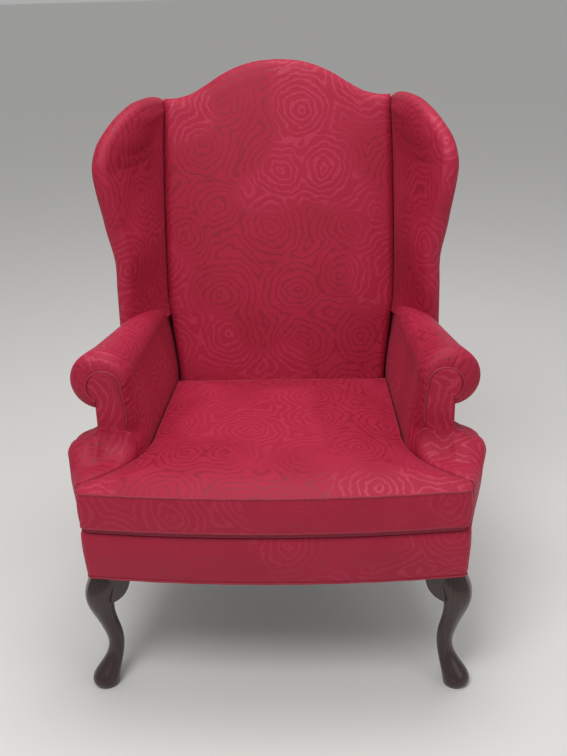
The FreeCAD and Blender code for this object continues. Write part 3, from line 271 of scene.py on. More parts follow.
def walked(*axes):
    """Length walked along a line of points from its first one, from its coordinates."""
    steps = np.stack([np.diff(axis) for axis in axes])
    return np.concatenate([[0], np.cumsum(np.linalg.norm(steps, axis=0))])


def flush(xz_parts):
    """Joins the parts of a section, each a pair of x and z, into one line."""
    return [np.concatenate([part[axis] for part in xz_parts]) for axis in (0, 1)]


def cover(name, rows, cloth_at, material, body, replaced, mirror=False, shift=(0, 0)):
    """Mesh from an array of points in millimetres (rows, columns, xyz) and cloth places in millimetres."""
    points = np.array(rows, float) / 1000
    flat = np.array(cloth_at, float) / 1000 + np.array(shift)
    tall, wide = points.shape[:2]
    if mirror:
        points = points * np.array([-1, 1, 1])
    index = np.arange(tall * wide).reshape(tall, wide)
    faces = np.stack([index[:-1, :-1], index[:-1, 1:], index[1:, 1:], index[1:, :-1]], -1).reshape(-1, 4)
    if mirror:
        faces = faces[:, ::-1]
    mesh = bpy.data.meshes.new(name)
    mesh.from_pydata(points.reshape(-1, 3).tolist(), [], faces.tolist())
    layer = mesh.uv_layers.new(name="cloth")
    order = np.zeros(len(mesh.loops), int)
    mesh.loops.foreach_get("vertex_index", order)
    layer.data.foreach_set("uv", flat.reshape(-1, 2)[order].ravel())
    piece = bpy.data.objects.new(name, mesh)
    bpy.context.scene.collection.objects.link(piece)
    work = bmesh.new()
    work.from_mesh(mesh)
    bmesh.ops.remove_doubles(work, verts=work.verts, dist=0.00002)
    bmesh.ops.recalc_face_normals(work, faces=work.faces)
    work.to_mesh(mesh)
    work.free()
    mesh.shade_smooth()
    mesh.materials.append(material)
    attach(piece, body)
    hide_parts(*replaced)
    return piece


def lean(x, up, depth):
    """Point of the leaning back from its own width, height up the slope and depth."""
    return np.stack([x, SEAT_REAR_Y + up * math.sin(RAKE) + depth * math.cos(RAKE),
                     SEAT_REAR_Z + up * math.cos(RAKE) - depth * math.sin(RAKE)], -1)


def up_at(z, depth=0):
    return (z - SEAT_REAR_Z) / math.cos(RAKE) + depth * math.tan(RAKE)


def back_y(z, depth):
    """Y of the leaning back at height z, at a depth behind its face."""
    return SEAT_REAR_Y + (z - SEAT_REAR_Z) * math.tan(RAKE) + depth / math.cos(RAKE)


def back_half(up):
    """Half the back's width: narrowest at the seat, widest at the height of the arms."""
    z = SEAT_REAR_Z + up * math.cos(RAKE)
    return through([360, 465, 519, 580, 646, 746, 855, 964, 1069, 1200],
                   [234, 236, 241, 249, 257.5, 258.5, 257.5, 255, 250.5, 248], z)


def crest_up(x):
    """How far up the slope the arched crest reaches at a distance from the middle."""
    z = through([0, 44, 87, 131, 175, 213, 250, 300], [1147, 1144, 1135, 1118, 1094, 1076.5, 1070, 1069],
                np.abs(x))
    return up_at(z, 17)


def back_panel():
    """Grid whose middle is the crowned face and whose outer rows turn round the edges."""
    low = up_at(378)
    turns = [("turn", angle) for angle in np.radians(np.linspace(0, 90, 9)[1:])]
    tails = [("tail", share) for share in np.linspace(0, 1, 9)[1:]]
    edge = turns + tails
    columns = [(kind, -1, value) for kind, value in edge[::-1]]
    columns += [("face", 0, across) for across in np.linspace(-1, 1, 91)]
    columns += [(kind, 1, value) for kind, value in edge]
    lines = [("face", share) for share in np.linspace(0, 1, 141)] + edge

    def parts(kind, value):
        """Angle turned round the edge, and share of the way back behind it."""
        angle = {"face": 0.0, "turn": value, "tail": math.pi / 2}[kind]
        return angle, value if kind == "tail" else 0.0

    points = np.zeros((len(lines), len(columns), 3))
    places = np.zeros((len(lines), len(columns), 2))
    for j, (kind_x, side, value_x) in enumerate(columns):
        across = value_x if kind_x == "face" else side
        angle_x, back_x = parts(kind_x, value_x)
        top = float(crest_up(across * 250)) - CREST_ROUNDING
        for i, (kind_v, value_v) in enumerate(lines):
            climb = value_v if kind_v == "face" else 1.0
            angle_v, back_v = parts(kind_v, value_v)
            up = low + climb * (top - low) + CREST_ROUNDING * math.sin(angle_v)
            inner = float(back_half(up)) - BACK_ROUNDING
            x = across * inner + side * BACK_ROUNDING * math.sin(angle_x)
            swell = BACK_CROWN * (1 - abs(across) ** 3) * max(math.sin(climb * math.pi), 0) ** 0.5
            swell += LUMBAR_SWELL * math.exp(-((up - 150) / 140) ** 2) * (1 - across * across)
            facing = math.cos(angle_x) * math.cos(angle_v)
            behind = (BACK_DEPTH - BACK_ROUNDING) * max(back_x, back_v)
            depth = BACK_ROUNDING * (1 - facing) - swell * facing + behind
            if kind_v == "tail":
                up += 3 * math.sin(back_v * math.pi)
            points[i, j] = lean(np.array(x), np.array(up), np.array(depth))
            tail = BACK_DEPTH - BACK_ROUNDING
            places[i, j] = (across * inner + side * (BACK_ROUNDING * angle_x + back_x * tail),
                            low + climb * (top - low) + CREST_ROUNDING * angle_v + back_v * tail)
    return points, places


points, places = back_panel()
cover("back_cover", points, places, cloth, "chair", ["inside_back"], shift=(0.31, 0.22))


# Wings: padded boards on their own uprights, covered inside and out. Each leaves the back's side
# seam, flares forward and is rolled over its front and top edge. A spine follows that edge.

ARM_FRONT, ARM_REAR = -232, 276
ROLL_Z = 612
WING_EDGE_RADIUS = 19.0
WING_STUFFING = 7.5
SHOULDER_HALF = 274
OUTSIDE_HALF = 292


def arm_share(y):
    """Share of the way from the arm's front to its rear, where its roll is thinner and further in."""
    return (y - ARM_FRONT) / (ARM_REAR - ARM_FRONT)


def roll_x(share):
    return 331 - 55 * share


def roll_radius(share):
    return 55 - 33 * share


def wing_grid():
    spine = np.array([
        (324, 68, 596), (322, 67, 700), (318, 66, 764), (331, 65, 850), (346, 64, 918), (351, 68, 955),
        (346, 86, 988), (333, 112, 1013), (312, 158, 1040), (291, 206, 1056), (278, 255, 1058),
        (271, 298, 1055), (268, 345, 1046), (267, 374, 1040)], float)
    seam_z = [596, 700, 764, 850, 918, 955, 985, 1006, 1027, 1042, 1046, 1044, 1038, 1034]
    seam_depth = [16, 14, 12, 12, 12, 12, 12, 12, 12, 12, 12, 18, 62, 86]
    rear_z = [596, 700, 764, 850, 918, 955, 985, 1002, 1018, 1028, 1030, 1030, 1030, 1028]
    aim = np.array([(0.40, -0.92, 0)] * 3 + [(0.36, -0.93, 0)] * 2 + [
        (0.36, -0.93, 0.05), (0.42, -0.82, 0.35), (0.40, -0.62, 0.65), (0.30, -0.42, 0.88),
        (0.16, -0.2, 1), (0.06, 0, 1), (0, 0, 1), (0, 0, 1), (0, 0, 1)], float)
    length = walked(*spine.T)
    along = np.linspace(0, length[-1], 170)
    centre = np.stack([through(length, spine[:, k], along) for k in range(3)], -1)
    centre[1:-1] = (centre[:-2] + 2 * centre[1:-1] + centre[2:]) / 4
    tangent = np.gradient(centre, axis=0)
    tangent /= np.linalg.norm(tangent, axis=1)[:, None]
    ahead = np.stack([through(length, aim[:, k], along) for k in range(3)], -1)
    ahead -= (ahead * tangent).sum(1)[:, None] * tangent
    ahead /= np.linalg.norm(ahead, axis=1)[:, None]
    inward = np.cross(tangent, ahead)
    inward *= -np.sign(inward[:, :1])
    inward /= np.linalg.norm(inward, axis=1)[:, None]
    depth = through(length, seam_depth, along)
    up = up_at(through(length, seam_z, along), depth)
    seam = lean(back_half(up) - 0.5, up, depth)
    rear_up = through(length, rear_z, along)
    rear_share = (rear_up - 362) / (1041 - 362)
    rear_x = OUTSIDE_HALF + (SHOULDER_HALF - OUTSIDE_HALF) * rear_share
    rear = np.stack([rear_x, back_y(rear_up, 91.5), rear_up], -1)
    inner_end = centre + inward * WING_EDGE_RADIUS
    outer_end = centre - inward * WING_EDGE_RADIUS
    # stuffing over the upright's outer corner, where the wing is narrowest
    over_post = 7.5 * np.exp(-((centre[:, 2:] - 825) / 75) ** 2)
    columns = []
    leg = inner_end - seam
    reach = np.linalg.norm(leg, axis=1)[:, None]
    start_way = leg / np.maximum(reach, 1)
    for share in np.linspace(0, 1, 46, endpoint=False):
        start, start_slope, end, end_slope = blend_weights(share)
        point = start * seam + start_slope * start_way * reach + end * inner_end + end_slope * ahead * reach
        swell = np.clip(reach / 120, 0, 1) * (math.sin(share * math.pi) ** 0.6) * (1 - 0.35 * share)
        columns.append(point + inward * WING_STUFFING * swell)
    for angle in np.linspace(0, math.pi, 19):
        radius = WING_EDGE_RADIUS * (1 + 0.04 * math.sin(angle))
        round_edge = centre + radius * (inward * math.cos(angle) + ahead * math.sin(angle))
        columns.append(round_edge - inward * over_post * math.sin(angle / 2) ** 4)
    leg = rear - outer_end
    reach = np.linalg.norm(leg, axis=1)[:, None]
    start_way = -0.8 * ahead * np.array([0.1, 1, 1])
    for share in np.linspace(0, 1, 35)[1:]:
        start, start_slope, end, end_slope = blend_weights(share)
        point = start * outer_end + start_slope * start_way * reach + end * rear + end_slope * leg
        swell = 5 * max(math.sin(share * math.pi), 0) ** 0.6 + over_post * math.cos(share * math.pi / 2) ** 2
        columns.append(point - inward * swell)
    points = np.stack(columns, 1)
    # the lower end follows the arm's roll and dips a little into it
    share = arm_share(points[..., 1])
    inside = np.clip(roll_radius(share) ** 2 - (points[..., 0] - roll_x(share)) ** 2, 0, None)
    floor = np.maximum(ROLL_Z + np.sqrt(inside) - 7, 606)
    lowered = 690 - (690 - points[..., 2]) / 94 * (690 - floor[0:1])
    points[..., 2] = np.where(points[..., 2] < 690, lowered, points[..., 2])
    # the rear end is closed, since it shows above the outside back's corners
    tip = np.array([267, points[-1, 55, 1], 1038])
    end_rows = [(tip + (points[-1] - tip) * share)[None] for share in (0.7, 0.4, 0.02)]
    points = np.concatenate([points] + end_rows)
    step = np.linalg.norm(np.diff(points[..., :2], axis=1), axis=2)
    across = np.concatenate([np.zeros((len(points), 1)), np.cumsum(step, axis=1)], 1)
    return points, np.stack([across, points[..., 2]], -1)


points, places = wing_grid()
for side, mirrored, shift in (("right", False, (1.13, 0.07)), ("left", True, (2.41, 0.36))):
    cover(side + "_wing_cover", points, places, cloth, "chair",
          [side + "_inside_wing", side + "_outside_wing"], mirror=mirrored, shift=shift)


# Arms: cloth over wadding on a timber arm, stuffed up from the deck, over the scrolled roll and
# under it. In front it turns round the edge and is gathered in small folds against the welt.

SCROLL_X, SCROLL_Z, SCROLL_RADIUS = 321, 603, 33
DECK_Z = 376
SWEEP_TOP = 518
ARM_BULGE = 7
ARM_TURN = 32
FOLD_DEPTH = 1.1


def scroll_edge(z):
    """X of the panel's inner edge at height z, where its welt lies."""
    return through([440, 462, 486, 510, 537, 570, 603], [300, 297, 291, 286.5, 282, 284, 288], z)


def arm_grid():
    inner_steps = 70
    angles = np.radians(np.linspace(180, -78, 100))
    climb = np.concatenate([np.linspace(0, 1, inner_steps, endpoint=False), np.ones(len(angles))])
    turn_angle = np.concatenate([np.full(inner_steps, math.pi), angles])
    is_roll = np.arange(len(climb)) >= inner_steps

    def section(y):
        """Points of the arm's section, each column at its own depth y."""
        share = arm_share(y)
        centre_x = roll_x(share)
        radius = roll_radius(share) + 3.5 * np.exp(-((y + 205) / 42) ** 2)
        foot_x = 253 - 16 * share
        wall_x = foot_x + (centre_x - radius - foot_x) * smooth_step(climb)
        wall_x = wall_x - ARM_BULGE * np.sin(climb * math.pi) ** 2
        x = np.where(is_roll, centre_x + radius * np.cos(turn_angle), wall_x)
        z = np.where(is_roll, ROLL_Z + radius * np.sin(turn_angle), DECK_Z + climb * (ROLL_Z - DECK_Z))
        return x, z

    def to_back(y, z):
        """The rear end leans with the back."""
        return y + np.clip((y - 60) / 183, 0, 1) * (231.8 + (z - SEAT_REAR_Z) * math.tan(RAKE) - 243)

    # how far back the cover starts to turn in: far on the inside, close on the roll
    first_z = DECK_Z + climb * (ROLL_Z - DECK_Z)
    reach = ARM_TURN + 44 * smooth_step((first_z - 452) / 70) * (1 - smooth_step((first_z - 540) / 80))
    reach = np.where(is_roll, ARM_TURN - 10 * smooth_step((math.radians(120) - turn_angle) / 1.5), reach)
    start = ARM_FRONT + reach
    start_x, start_z = section(start)
    girth = walked(start_x, start_z)
    welt_x = np.where(is_roll, SCROLL_X + SCROLL_RADIUS * np.cos(turn_angle), scroll_edge(start_z))
    welt_z = np.where(is_roll, SCROLL_Z + SCROLL_RADIUS * np.sin(turn_angle), start_z - 9 * climb)
    low = smooth_step((SWEEP_TOP - start_z) / 40) * ~is_roll
    welt_x = welt_x * (1 - low) + 267.5 * low
    out_x = np.cos(turn_angle)
    out_z = np.where(is_roll, np.sin(turn_angle), 0)
    # small folds, uneven in size, that die out away from the welt
    place = girth + 7 * np.sin(girth * 0.043) + 3 * np.sin(girth * 0.11 + 1.3)
    fold = np.sin(place * 0.62) + 0.55 * np.sin(place * 0.37 + 0.8) + 0.3 * np.sin(place * 1.1 + 2.2)
    strong = smooth_step((girth - 120) / 50) * (1 - 0.55 * smooth_step((girth - 330) / 60))
    strong *= 0.55 + 0.45 * np.sin(girth * 0.021 + 0.4) ** 2
    rows, places = [], []
    for turn in np.radians(np.linspace(90, 0, 22)):
        inset = 1 - math.cos(turn)
        y = start - reach * math.sin(turn)
        x, z = section(start - reach * math.sin(turn) * (1 - inset))
        crease = FOLD_DEPTH * fold * strong * math.sin(turn) ** 3
        rows.append(np.stack([x + (welt_x - x) * inset + out_x * crease * math.cos(turn),
                              y - crease * math.sin(turn),
                              z + (welt_z - z) * inset + out_z * crease * math.cos(turn)], -1))
        places.append(np.stack([girth, y - 8 * inset], -1))
    for share in np.linspace(0, 1, 90)[1:] ** 1.15:
        y = start + (243 - start) * share
        x, z = section(y)
        crease = 0.25 * fold * strong * np.exp(-((y - start) / 15) ** 1.2)
        rows.append(np.stack([x + out_x * crease, to_back(y, z), z + out_z * crease], -1))
        around = walked(x, z)
        places.append(np.stack([around - around[inner_steps] + girth[inner_steps], y], -1))
    # the roll's rear end is closed, since it shows behind the wing
    last, tip = rows[-1], np.array([277, 0, ROLL_Z])
    for share in (0.7, 0.4, 0.02):
        shrunk = tip + (last - tip) * share
        shrunk[:, 1] = last[:, 1] + 5 * (1 - share)
        rows.append(shrunk)
        places.append(places[-1] + np.array([0, 9]))
    return np.array(rows), np.array(places)


points, places = arm_grid()
for side, mirrored, shift in (("right", False, (0.52, 1.31)), ("left", True, (1.77, 0.83))):
    cover(side + "_arm_cover", points, places, cloth, "chair", [side + "_inside_arm"],
          mirror=mirrored, shift=shift)


# Toes: stuffed cloth over a shaped block. Below its scroll each arm sweeps forward and swells out
# over the seat's front corner, with a rounded lump on its outer side, and beside the cushion's ear.

TOE_FRONT = -340.5
TOE_CREASE = -336
RAIL_FOOT = 269
EAR_CENTRE, EAR_RADIUS = (474.7, -144.5), 228
EAR_FRONT, EAR_REAR = -331, -134
SWEEP_LENGTH = 52
OUTER_ROUNDING = 27


def ear_line(y):
    """X of the arm's inner wall beside the cushion's ear, at depth y."""
    y = np.asarray(y, float)
    from_centre = np.clip(y, EAR_FRONT, EAR_REAR) - EAR_CENTRE[1]
    hollow = EAR_CENTRE[0] - np.sqrt(EAR_RADIUS ** 2 - from_centre ** 2) + 1.6
    return np.where(y < EAR_FRONT, through([-336.5, -334, -331], [362, 358.5, 347], y), hollow)


def toe_outer(y):
    return through([-341, -335, -325, -310, -290, -270, -250, -238, -232],
                   [362, 366.5, 371, 377, 384.5, 390.5, 396.5, 400.5, 401], y)


def swept(x, y):
    """Height of the toe's top: a hollow sweep up to the panel, and a rounded lump beside it."""
    share = np.clip((ARM_FRONT - y) / SWEEP_LENGTH, 0, 1)
    hollow = 1 - np.sqrt(np.clip(1 - (1 - share) ** 2, 0, 1))
    lump = smooth_step((x - 322) / 44)
    curve = hollow * (1 - lump) + (1 - share ** 2) ** 1.3 * lump
    height = through([250, 338, 343, 355, 372, 389, 400, 410], [52, 52, 45, 39, 31, 17, 6, 2], x)
    base = through([250, 300, 350, 372, 390, 410], [463, 464, 465, 465, 462, 458], x)
    front = np.clip((-y - 300) / 40, 0, 1) ** 2
    return base + height * curve - 10 * front


def outer_wall(top_x, top_z, bottom_x):
    """From below the widest point of the flare down to the rail's lower edge."""
    z = np.linspace(top_z, RAIL_FOOT, 34)[1:]
    fall = (top_z - z) / (top_z - RAIL_FOOT)
    x = top_x + (bottom_x - top_x) * (0.35 * fall + 0.65 * smooth_step(fall * 1.1))
    return x, z


def toe_grid():
    rows, places = [], []
    sweep_y = ARM_FRONT - SWEEP_LENGTH * (1 - np.cos(np.linspace(0, math.pi / 2, 22)))
    depths = np.concatenate([[-222, -227], sweep_y, np.linspace(-284, -320, 9)[1:],
                             np.linspace(-320, TOE_FRONT, 9)[1:]])
    inner_turn = np.linspace(0, math.pi / 2, 8)
    outer_turn = np.linspace(0, math.pi / 2, 14)
    for y in depths:
        at = min(y, ARM_FRONT)
        x_in = float(ear_line(max(at, TOE_CREASE))) + (2.5 if y > ARM_FRONT else 0)
        if y < TOE_CREASE:
            x_in = 358 + (TOE_CREASE - y) * 0.5
        x_out = float(toe_outer(at))
        width = x_out - x_in
        r_in = min(11 + 18 * max(0, (at + 284) / SWEEP_LENGTH) ** 1.5, width * 0.4)
        r_out = min(OUTER_ROUNDING, width * 0.5)
        foot_x = float(through([-341, -232], [360.5, 366], at))
        drop = 12 * np.clip((TOE_CREASE - y) / 5, 0, 1)
        low_in = float(swept(x_in + r_in, at)) - r_in - drop
        low_out = float(swept(x_out - r_out, at)) - drop - r_out
        wall_z = np.linspace(372, low_in, 12, endpoint=False)
        across = np.linspace(x_in + r_in, x_out - r_out, 36)[1:-1]
        x, z = flush([
            (np.full(12, x_in), wall_z),
            (x_in + r_in * (1 - np.cos(inner_turn)), low_in + r_in * np.sin(inner_turn)),
            (across, swept(across, at) - drop),
            (x_out - r_out + r_out * np.sin(outer_turn), low_out + r_out * np.cos(outer_turn)),
            outer_wall(x_out, low_out, foot_x)])
        rows.append(np.stack([x, np.full(len(x), y), z], -1))
        girth = walked(x, z)
        places.append(np.stack([girth - girth[20], np.full(len(x), y)], -1))
    # the front end is closed, since the lifted cushion leaves it in view
    last, tip = rows[-1], np.array([360.5, TOE_FRONT, 372])
    for share in (0.8, 0.6, 0.4, 0.2, 0.02):
        rows.append(tip + (last - tip) * share - np.array([0, 0.8 * math.sin(share * math.pi), 0]))
        places.append(places[-1])
    rows, places = np.array(rows), np.array(places)
    places[..., 1] = -walked(*rows[:, 40].T)[:, None]
    return rows, places


points, places = toe_grid()
for side, mirrored, shift in (("right", False, (0.93, 0.41)), ("left", True, (1.21, 0.19))):
    cover(side + "_toe_cover", points, places, cloth, "chair", [side + "_side_cover"],
          mirror=mirrored, shift=shift)


# Panels: a thin shaped board for each arm's face, padded and covered in the same cloth, and tacked
# on last. Its top is a scroll, and it runs down the arm's neck into the toe.

NECK_X = 338.3
PANEL_Y = -232.5
PANEL_CROWN = 3.2


def panel_grid():
    rows, places = [], []
    scroll_z = SCROLL_Z + SCROLL_RADIUS * np.sin(np.linspace(math.pi / 2, 0, 18))
    across = np.linspace(-1, 1, 33)
    for z in np.concatenate([scroll_z, np.linspace(SCROLL_Z, 500, 42)[1:]]):
        half = math.sqrt(max(SCROLL_RADIUS ** 2 - (z - SCROLL_Z) ** 2, 0.01))
        if z >= SCROLL_Z:
            left, right = SCROLL_X - half, SCROLL_X + half
        else:
            left = float(scroll_edge(z))
            right = max(SCROLL_X + half, NECK_X) if z > 575.5 else NECK_X
        x = (left + right) / 2 + across * (right - left) / 2
        end = smooth_step((z - 512) / 40)
        crown = PANEL_CROWN * (1 - np.abs(across) ** 3) * end * min(1, (right - left) / 40)
        edge = 5.0 * np.clip(np.abs(across) - 0.86, 0, 1) / 0.14
        y = PANEL_Y - crown + edge * np.where(across > 0, 0.9 if z > 570 else 0.2, 0.3)
        rows.append(np.stack([x, y, np.full(len(x), z)], -1))
        places.append(np.stack([x, np.full(len(x), z)], -1))
    return np.array(rows), np.array(places)


points, places = panel_grid()
for side, mirrored, shift in (("right", False, (0.33, 0.91)), ("left", True, (2.05, 0.52))):
    cover(side + "_arm_panel", points, places, cloth, "chair", [side + "_arm_front_panel"],
          mirror=mirrored, shift=shift)


# Outside arms: one width of cloth drawn over the open frame and tacked under the rail. It goes
# from under the roll down the neck, out over the flare in front and down to the rail.

FLARE_X = 401


def outside_grid():
    rows, places = [], []
    shelf = np.linspace(NECK_X, 374, 20)
    shelf_z = 463 + through([330, NECK_X, 343, 355, 372, 389], [54, 54, 46, 40, 31, 17], shelf)
    quarter = np.linspace(0, math.pi / 2, 12)[1:]
    for y in np.concatenate([np.linspace(PANEL_Y, -200, 8), np.linspace(-200, 262, 60)[1:]]):
        share = arm_share(y)
        neck = NECK_X + (290 - NECK_X) * share
        flat = 348 + (OUTSIDE_HALF - 348) * share
        fall = smooth_step((-140 - y) / 52)
        flare = flat + (FLARE_X - (y - ARM_FRONT) * 0.12 - flat) * fall
        foot_x = 366 + (OUTSIDE_HALF - 366) * share
        r_out = 7 + 20 * fall
        spread = max(flare - r_out - neck, 1) / (FLARE_X - OUTER_ROUNDING - NECK_X)
        low_z = shelf_z[-1] - r_out
        x, z = flush([
            (np.full(14, neck), np.linspace(575 + 36 * share, 517, 14, endpoint=False)),
            (neck + (shelf - NECK_X) * spread, shelf_z),
            (flare - r_out + r_out * np.sin(quarter), low_z + r_out * np.cos(quarter)),
            outer_wall(flare, low_z, foot_x)])
        # the rear edge leans and narrows with the outside back, which it meets
        near_back = np.clip((y - 60) / 202, 0, 1)
        behind = y + near_back * (244.5 + (z - SEAT_REAR_Z) * math.tan(RAKE) - 262)
        x = x + near_back ** 2 * (292.4 - 18 * (z - 268.5) / 793.5 - x)
        rows.append(np.stack([x, behind, z], -1))
        places.append(np.stack([behind, -walked(x, z)], -1))
    return np.array(rows), np.array(places)


points, places = outside_grid()
for side, mirrored, shift in (("right", False, (0.13, 1.11)), ("left", True, (1.35, 1.52))):
    cover(side + "_outside_arm_cover", points, places, cloth, "chair", [side + "_outside_arm"],
          mirror=mirrored, shift=shift)


# Cushion: a loose T-shaped seat cushion of foam in a sewn cover. Its top and bottom panels are
# joined by a boxing strip, with a welt in each seam, and its filling crowns the top.

BOW = 5200
FRONT_HALF = 357
REAR_HALF, REAR_Y = 238.4, 145.5
CORNER_RADIUS = 14
TOP_SEAM_Z = 458
CUSHION_BOTTOM_Z = 384.4
CUSHION_CROWN = 24
RING_COUNT = 420


def arc_points(start, end, centre, count):
    """Points on the short arc from start to end about centre, without the last one."""
    first = math.atan2(start[1] - centre[1], start[0] - centre[0])
    last = math.atan2(end[1] - centre[1], end[0] - centre[0])
    if last - first > math.pi:
        last -= 2 * math.pi
    if first - last > math.pi:
        last += 2 * math.pi
    radius = math.hypot(start[0] - centre[0], start[1] - centre[1])
    turn = np.linspace(first, last, count)[:-1]
    return [(centre[0] + radius * math.cos(a), centre[1] + radius * math.sin(a)) for a in turn]


def bowed(front_y, half, count):
    """The bowed front from the middle to the corner, curved as the rail below it is."""
    return [(x, front_y - (FRONT_HALF ** 2 - x ** 2) / BOW) for x in np.linspace(0, half, count)][:-1]


def cushion_edge():
    """Closed loop round the cushion at its seams, starting at the middle of the front."""
    right = bowed(-377, FRONT_HALF - CORNER_RADIUS, 60)
    right += arc_points((343, -378.9), (FRONT_HALF, -364.9), (343, -364.9), 8)
    right += [(FRONT_HALF, y) for y in np.linspace(-364.9, -345.2, 5)][:-1]
    right += arc_points((FRONT_HALF, -345.2), (347.5, -334.2), (346, -345.2), 6)
    right += arc_points((347.5, -334.2), (246.9, EAR_REAR), EAR_CENTRE, 60)
    right += [(246.9 - 8.5 * t, EAR_REAR + 279.5 * t) for t in np.linspace(0, 1, 60)]
    right += [(REAR_HALF - t, REAR_Y) for t in np.linspace(4, REAR_HALF, 60)]
    left = [(-x, y) for x, y in right[::-1]][1:-1]
    return np.array(right + left)


def cushion_ring():
    """Even points round the seam, the way outward from each, and how far round each lies."""
    closed = cushion_edge()
    closed = np.vstack([closed, closed[:1]])
    length = walked(*closed.T)
    around = np.linspace(0, length[-1], RING_COUNT, endpoint=False)
    edge = np.stack([np.interp(around, length, closed[:, axis]) for axis in (0, 1)], -1)
    ahead = np.roll(edge, -1, 0) - np.roll(edge, 1, 0)
    ahead /= np.linalg.norm(ahead, axis=1)[:, None]
    return edge, np.stack([ahead[:, 1], -ahead[:, 0]], -1), around, length[-1]


def level(ring, z):
    """A ring at height z, its back edge moved along the leaning back."""
    near_back = np.clip((ring[:, 1] - 40) / 105, 0, 1)
    y = ring[:, 1] + near_back * (z - TOP_SEAM_Z) * math.tan(RAKE)
    return np.stack([ring[:, 0], y, np.broadcast_to(z, y.shape)], -1)


def cushion_grid():
    edge, outward, around, girth = cushion_ring()
    heart = np.stack([np.zeros(RING_COUNT), np.clip(edge[:, 1], -250, 40)], -1)
    ripple = np.sin(around * 0.29 + 2 * np.sin(around * 0.031)) * (0.5 + 0.5 * np.sin(around * 0.017 + 1))
    rows, places = [], []
    for share in np.linspace(0, 1, 10, endpoint=False) ** 0.6:
        ring = heart + (edge - heart) * share * 0.985
        rows.append(level(ring, CUSHION_BOTTOM_Z))
        places.append(ring)
    for turn in np.linspace(0, math.pi / 2, 4):
        ring = edge - outward * (3.5 - 2.0 * math.sin(turn))
        rows.append(level(ring, CUSHION_BOTTOM_Z + 2.0 * (1 - math.cos(turn))))
        places.append(ring)
    boxing_start = len(rows)
    for share in np.linspace(0, 1, 15):
        inset = 1.6 - 2.4 * math.sin(share * math.pi) + 0.35 * ripple * math.exp(-min(share, 1 - share) * 9)
        rows.append(level(edge - outward * inset[:, None], 387.5 + share * 69.5))
        places.append(np.stack([around, np.full(RING_COUNT, share * 70 + 500)], -1))
    boxing_end = len(rows)
    for share in 1 - np.linspace(0, 1, 64) ** 1.35:
        ring = heart + (edge - outward * 1.5 - heart) * share
        gap = np.full(RING_COUNT, 1e9)
        for point in edge[::2]:
            gap = np.minimum(gap, np.hypot(ring[:, 0] - point[0], ring[:, 1] - point[1]))
        gap = np.clip(gap - 1.5, 0, None)
        sat_in = 1.6 * np.exp(-((ring[:, 1] - 10) / 70) ** 2 - (ring[:, 0] / 150) ** 2)
        crown = CUSHION_CROWN * (1 - (1 - np.clip(gap / 125, 0, 1)) ** 2.8) - sat_in
        crown = crown + 0.5 * ripple * np.exp(-gap / 9) * np.clip(gap / 2, 0, 1)
        rows.append(level(ring, TOP_SEAM_Z + 0.2 + crown))
        places.append(ring)
    rows, places = np.array(rows), np.array(places)
    rows = np.concatenate([rows, rows[:, :1]], 1)
    places = np.concatenate([places, places[:, :1]], 1)
    places[boxing_start:boxing_end, -1, 0] = girth
    return rows, places


def puff(piece, pinned, most):
    """Inflates a closed cover a little with the cloth solver, its pinned seams held, each point
    moving no further than most, so that the filling pushes between the seams as it does in life."""
    rest = np.array([v.co for v in piece.data.vertices])
    held = piece.vertex_groups.new(name="held")
    held.add(pinned, 1.0, "REPLACE")
    solver = piece.modifiers.new("filling", "CLOTH")
    for name, value in (("quality", 4), ("mass", 0.3), ("tension_stiffness", 22),
                        ("compression_stiffness", 9), ("shear_stiffness", 6), ("bending_stiffness", 3),
                        ("use_pressure", True), ("uniform_pressure_force", 4), ("vertex_group_mass", "held")):
        setattr(solver.settings, name, value)
    solver.settings.effector_weights.gravity = 0
    scene = bpy.context.scene
    for frame_number in range(1, 16):
        scene.frame_set(frame_number)
    graph = bpy.context.evaluated_depsgraph_get()
    moved = np.array([v.co for v in piece.evaluated_get(graph).data.vertices])
    piece.modifiers.remove(solver)
    step = moved - rest
    size = np.linalg.norm(step, axis=1)[:, None]
    step *= np.minimum(1, most / np.maximum(size, 1e-9))
    if np.isfinite(step).all():
        piece.data.vertices.foreach_set("co", (rest + step).ravel())
    scene.frame_set(1)


points, places = cushion_grid()
cushion = cover("cushion_cover", points, places, cloth, "seat_cushion",
                ["cushion_top_panel", "cushion_boxing", "cushion_bottom_panel"],
                shift=(0.66, 0.58))
cushion.data.materials.append(quiet_cloth)
for face in cushion.data.polygons:
    if abs(face.normal.z) < 0.5:
        face.material_index = 1
verts = cushion.data.vertices
seam_points = [v.index for v in verts if v.co.z < 0.3885 or abs(v.co.z - 0.4572) < 0.0016]
puff(cushion, seam_points, 0.0022)


# Welts: cotton cord wrapped in bias strips of the covering and sewn into the seams. One Geometry
# Nodes group turns a seam's line into a round welt, which is then kept as a plain mesh.

WELT_DEEP = (0.26, 0.005, 0.022, 1)
WELT_BRIGHT = (0.38, 0.010, 0.042, 1)
WELT_RADIUS = 2.4
WELT_SIDES = 10


def welt_cloth():
    material, tree, shader = new_material("welt_fabric")
    link = tree.links.new
    place = add(tree, "ShaderNodeTexCoord")
    twist = add(tree, "ShaderNodeTexWave", wave_type="BANDS", bands_direction="DIAGONAL")
    set_inputs(twist, {"Scale": 190, "Distortion": 1.2})
    cloud = add(tree, "ShaderNodeTexNoise", {"Scale": 26})
    link(place.outputs["Object"], twist.inputs["Vector"])
    link(place.outputs["Object"], cloud.inputs["Vector"])
    tone = colour_mix(tree, WELT_DEEP, WELT_BRIGHT, cloud.outputs["Fac"])
    link(tone, shader.inputs["Base Color"])
    set_inputs(shader, {"Roughness": 0.6, "Sheen Weight": 0.06, "Sheen Tint": SHEEN_PINK})
    bump_from(tree, shader, twist.outputs["Fac"], 0.4, 0.0004)
    return material


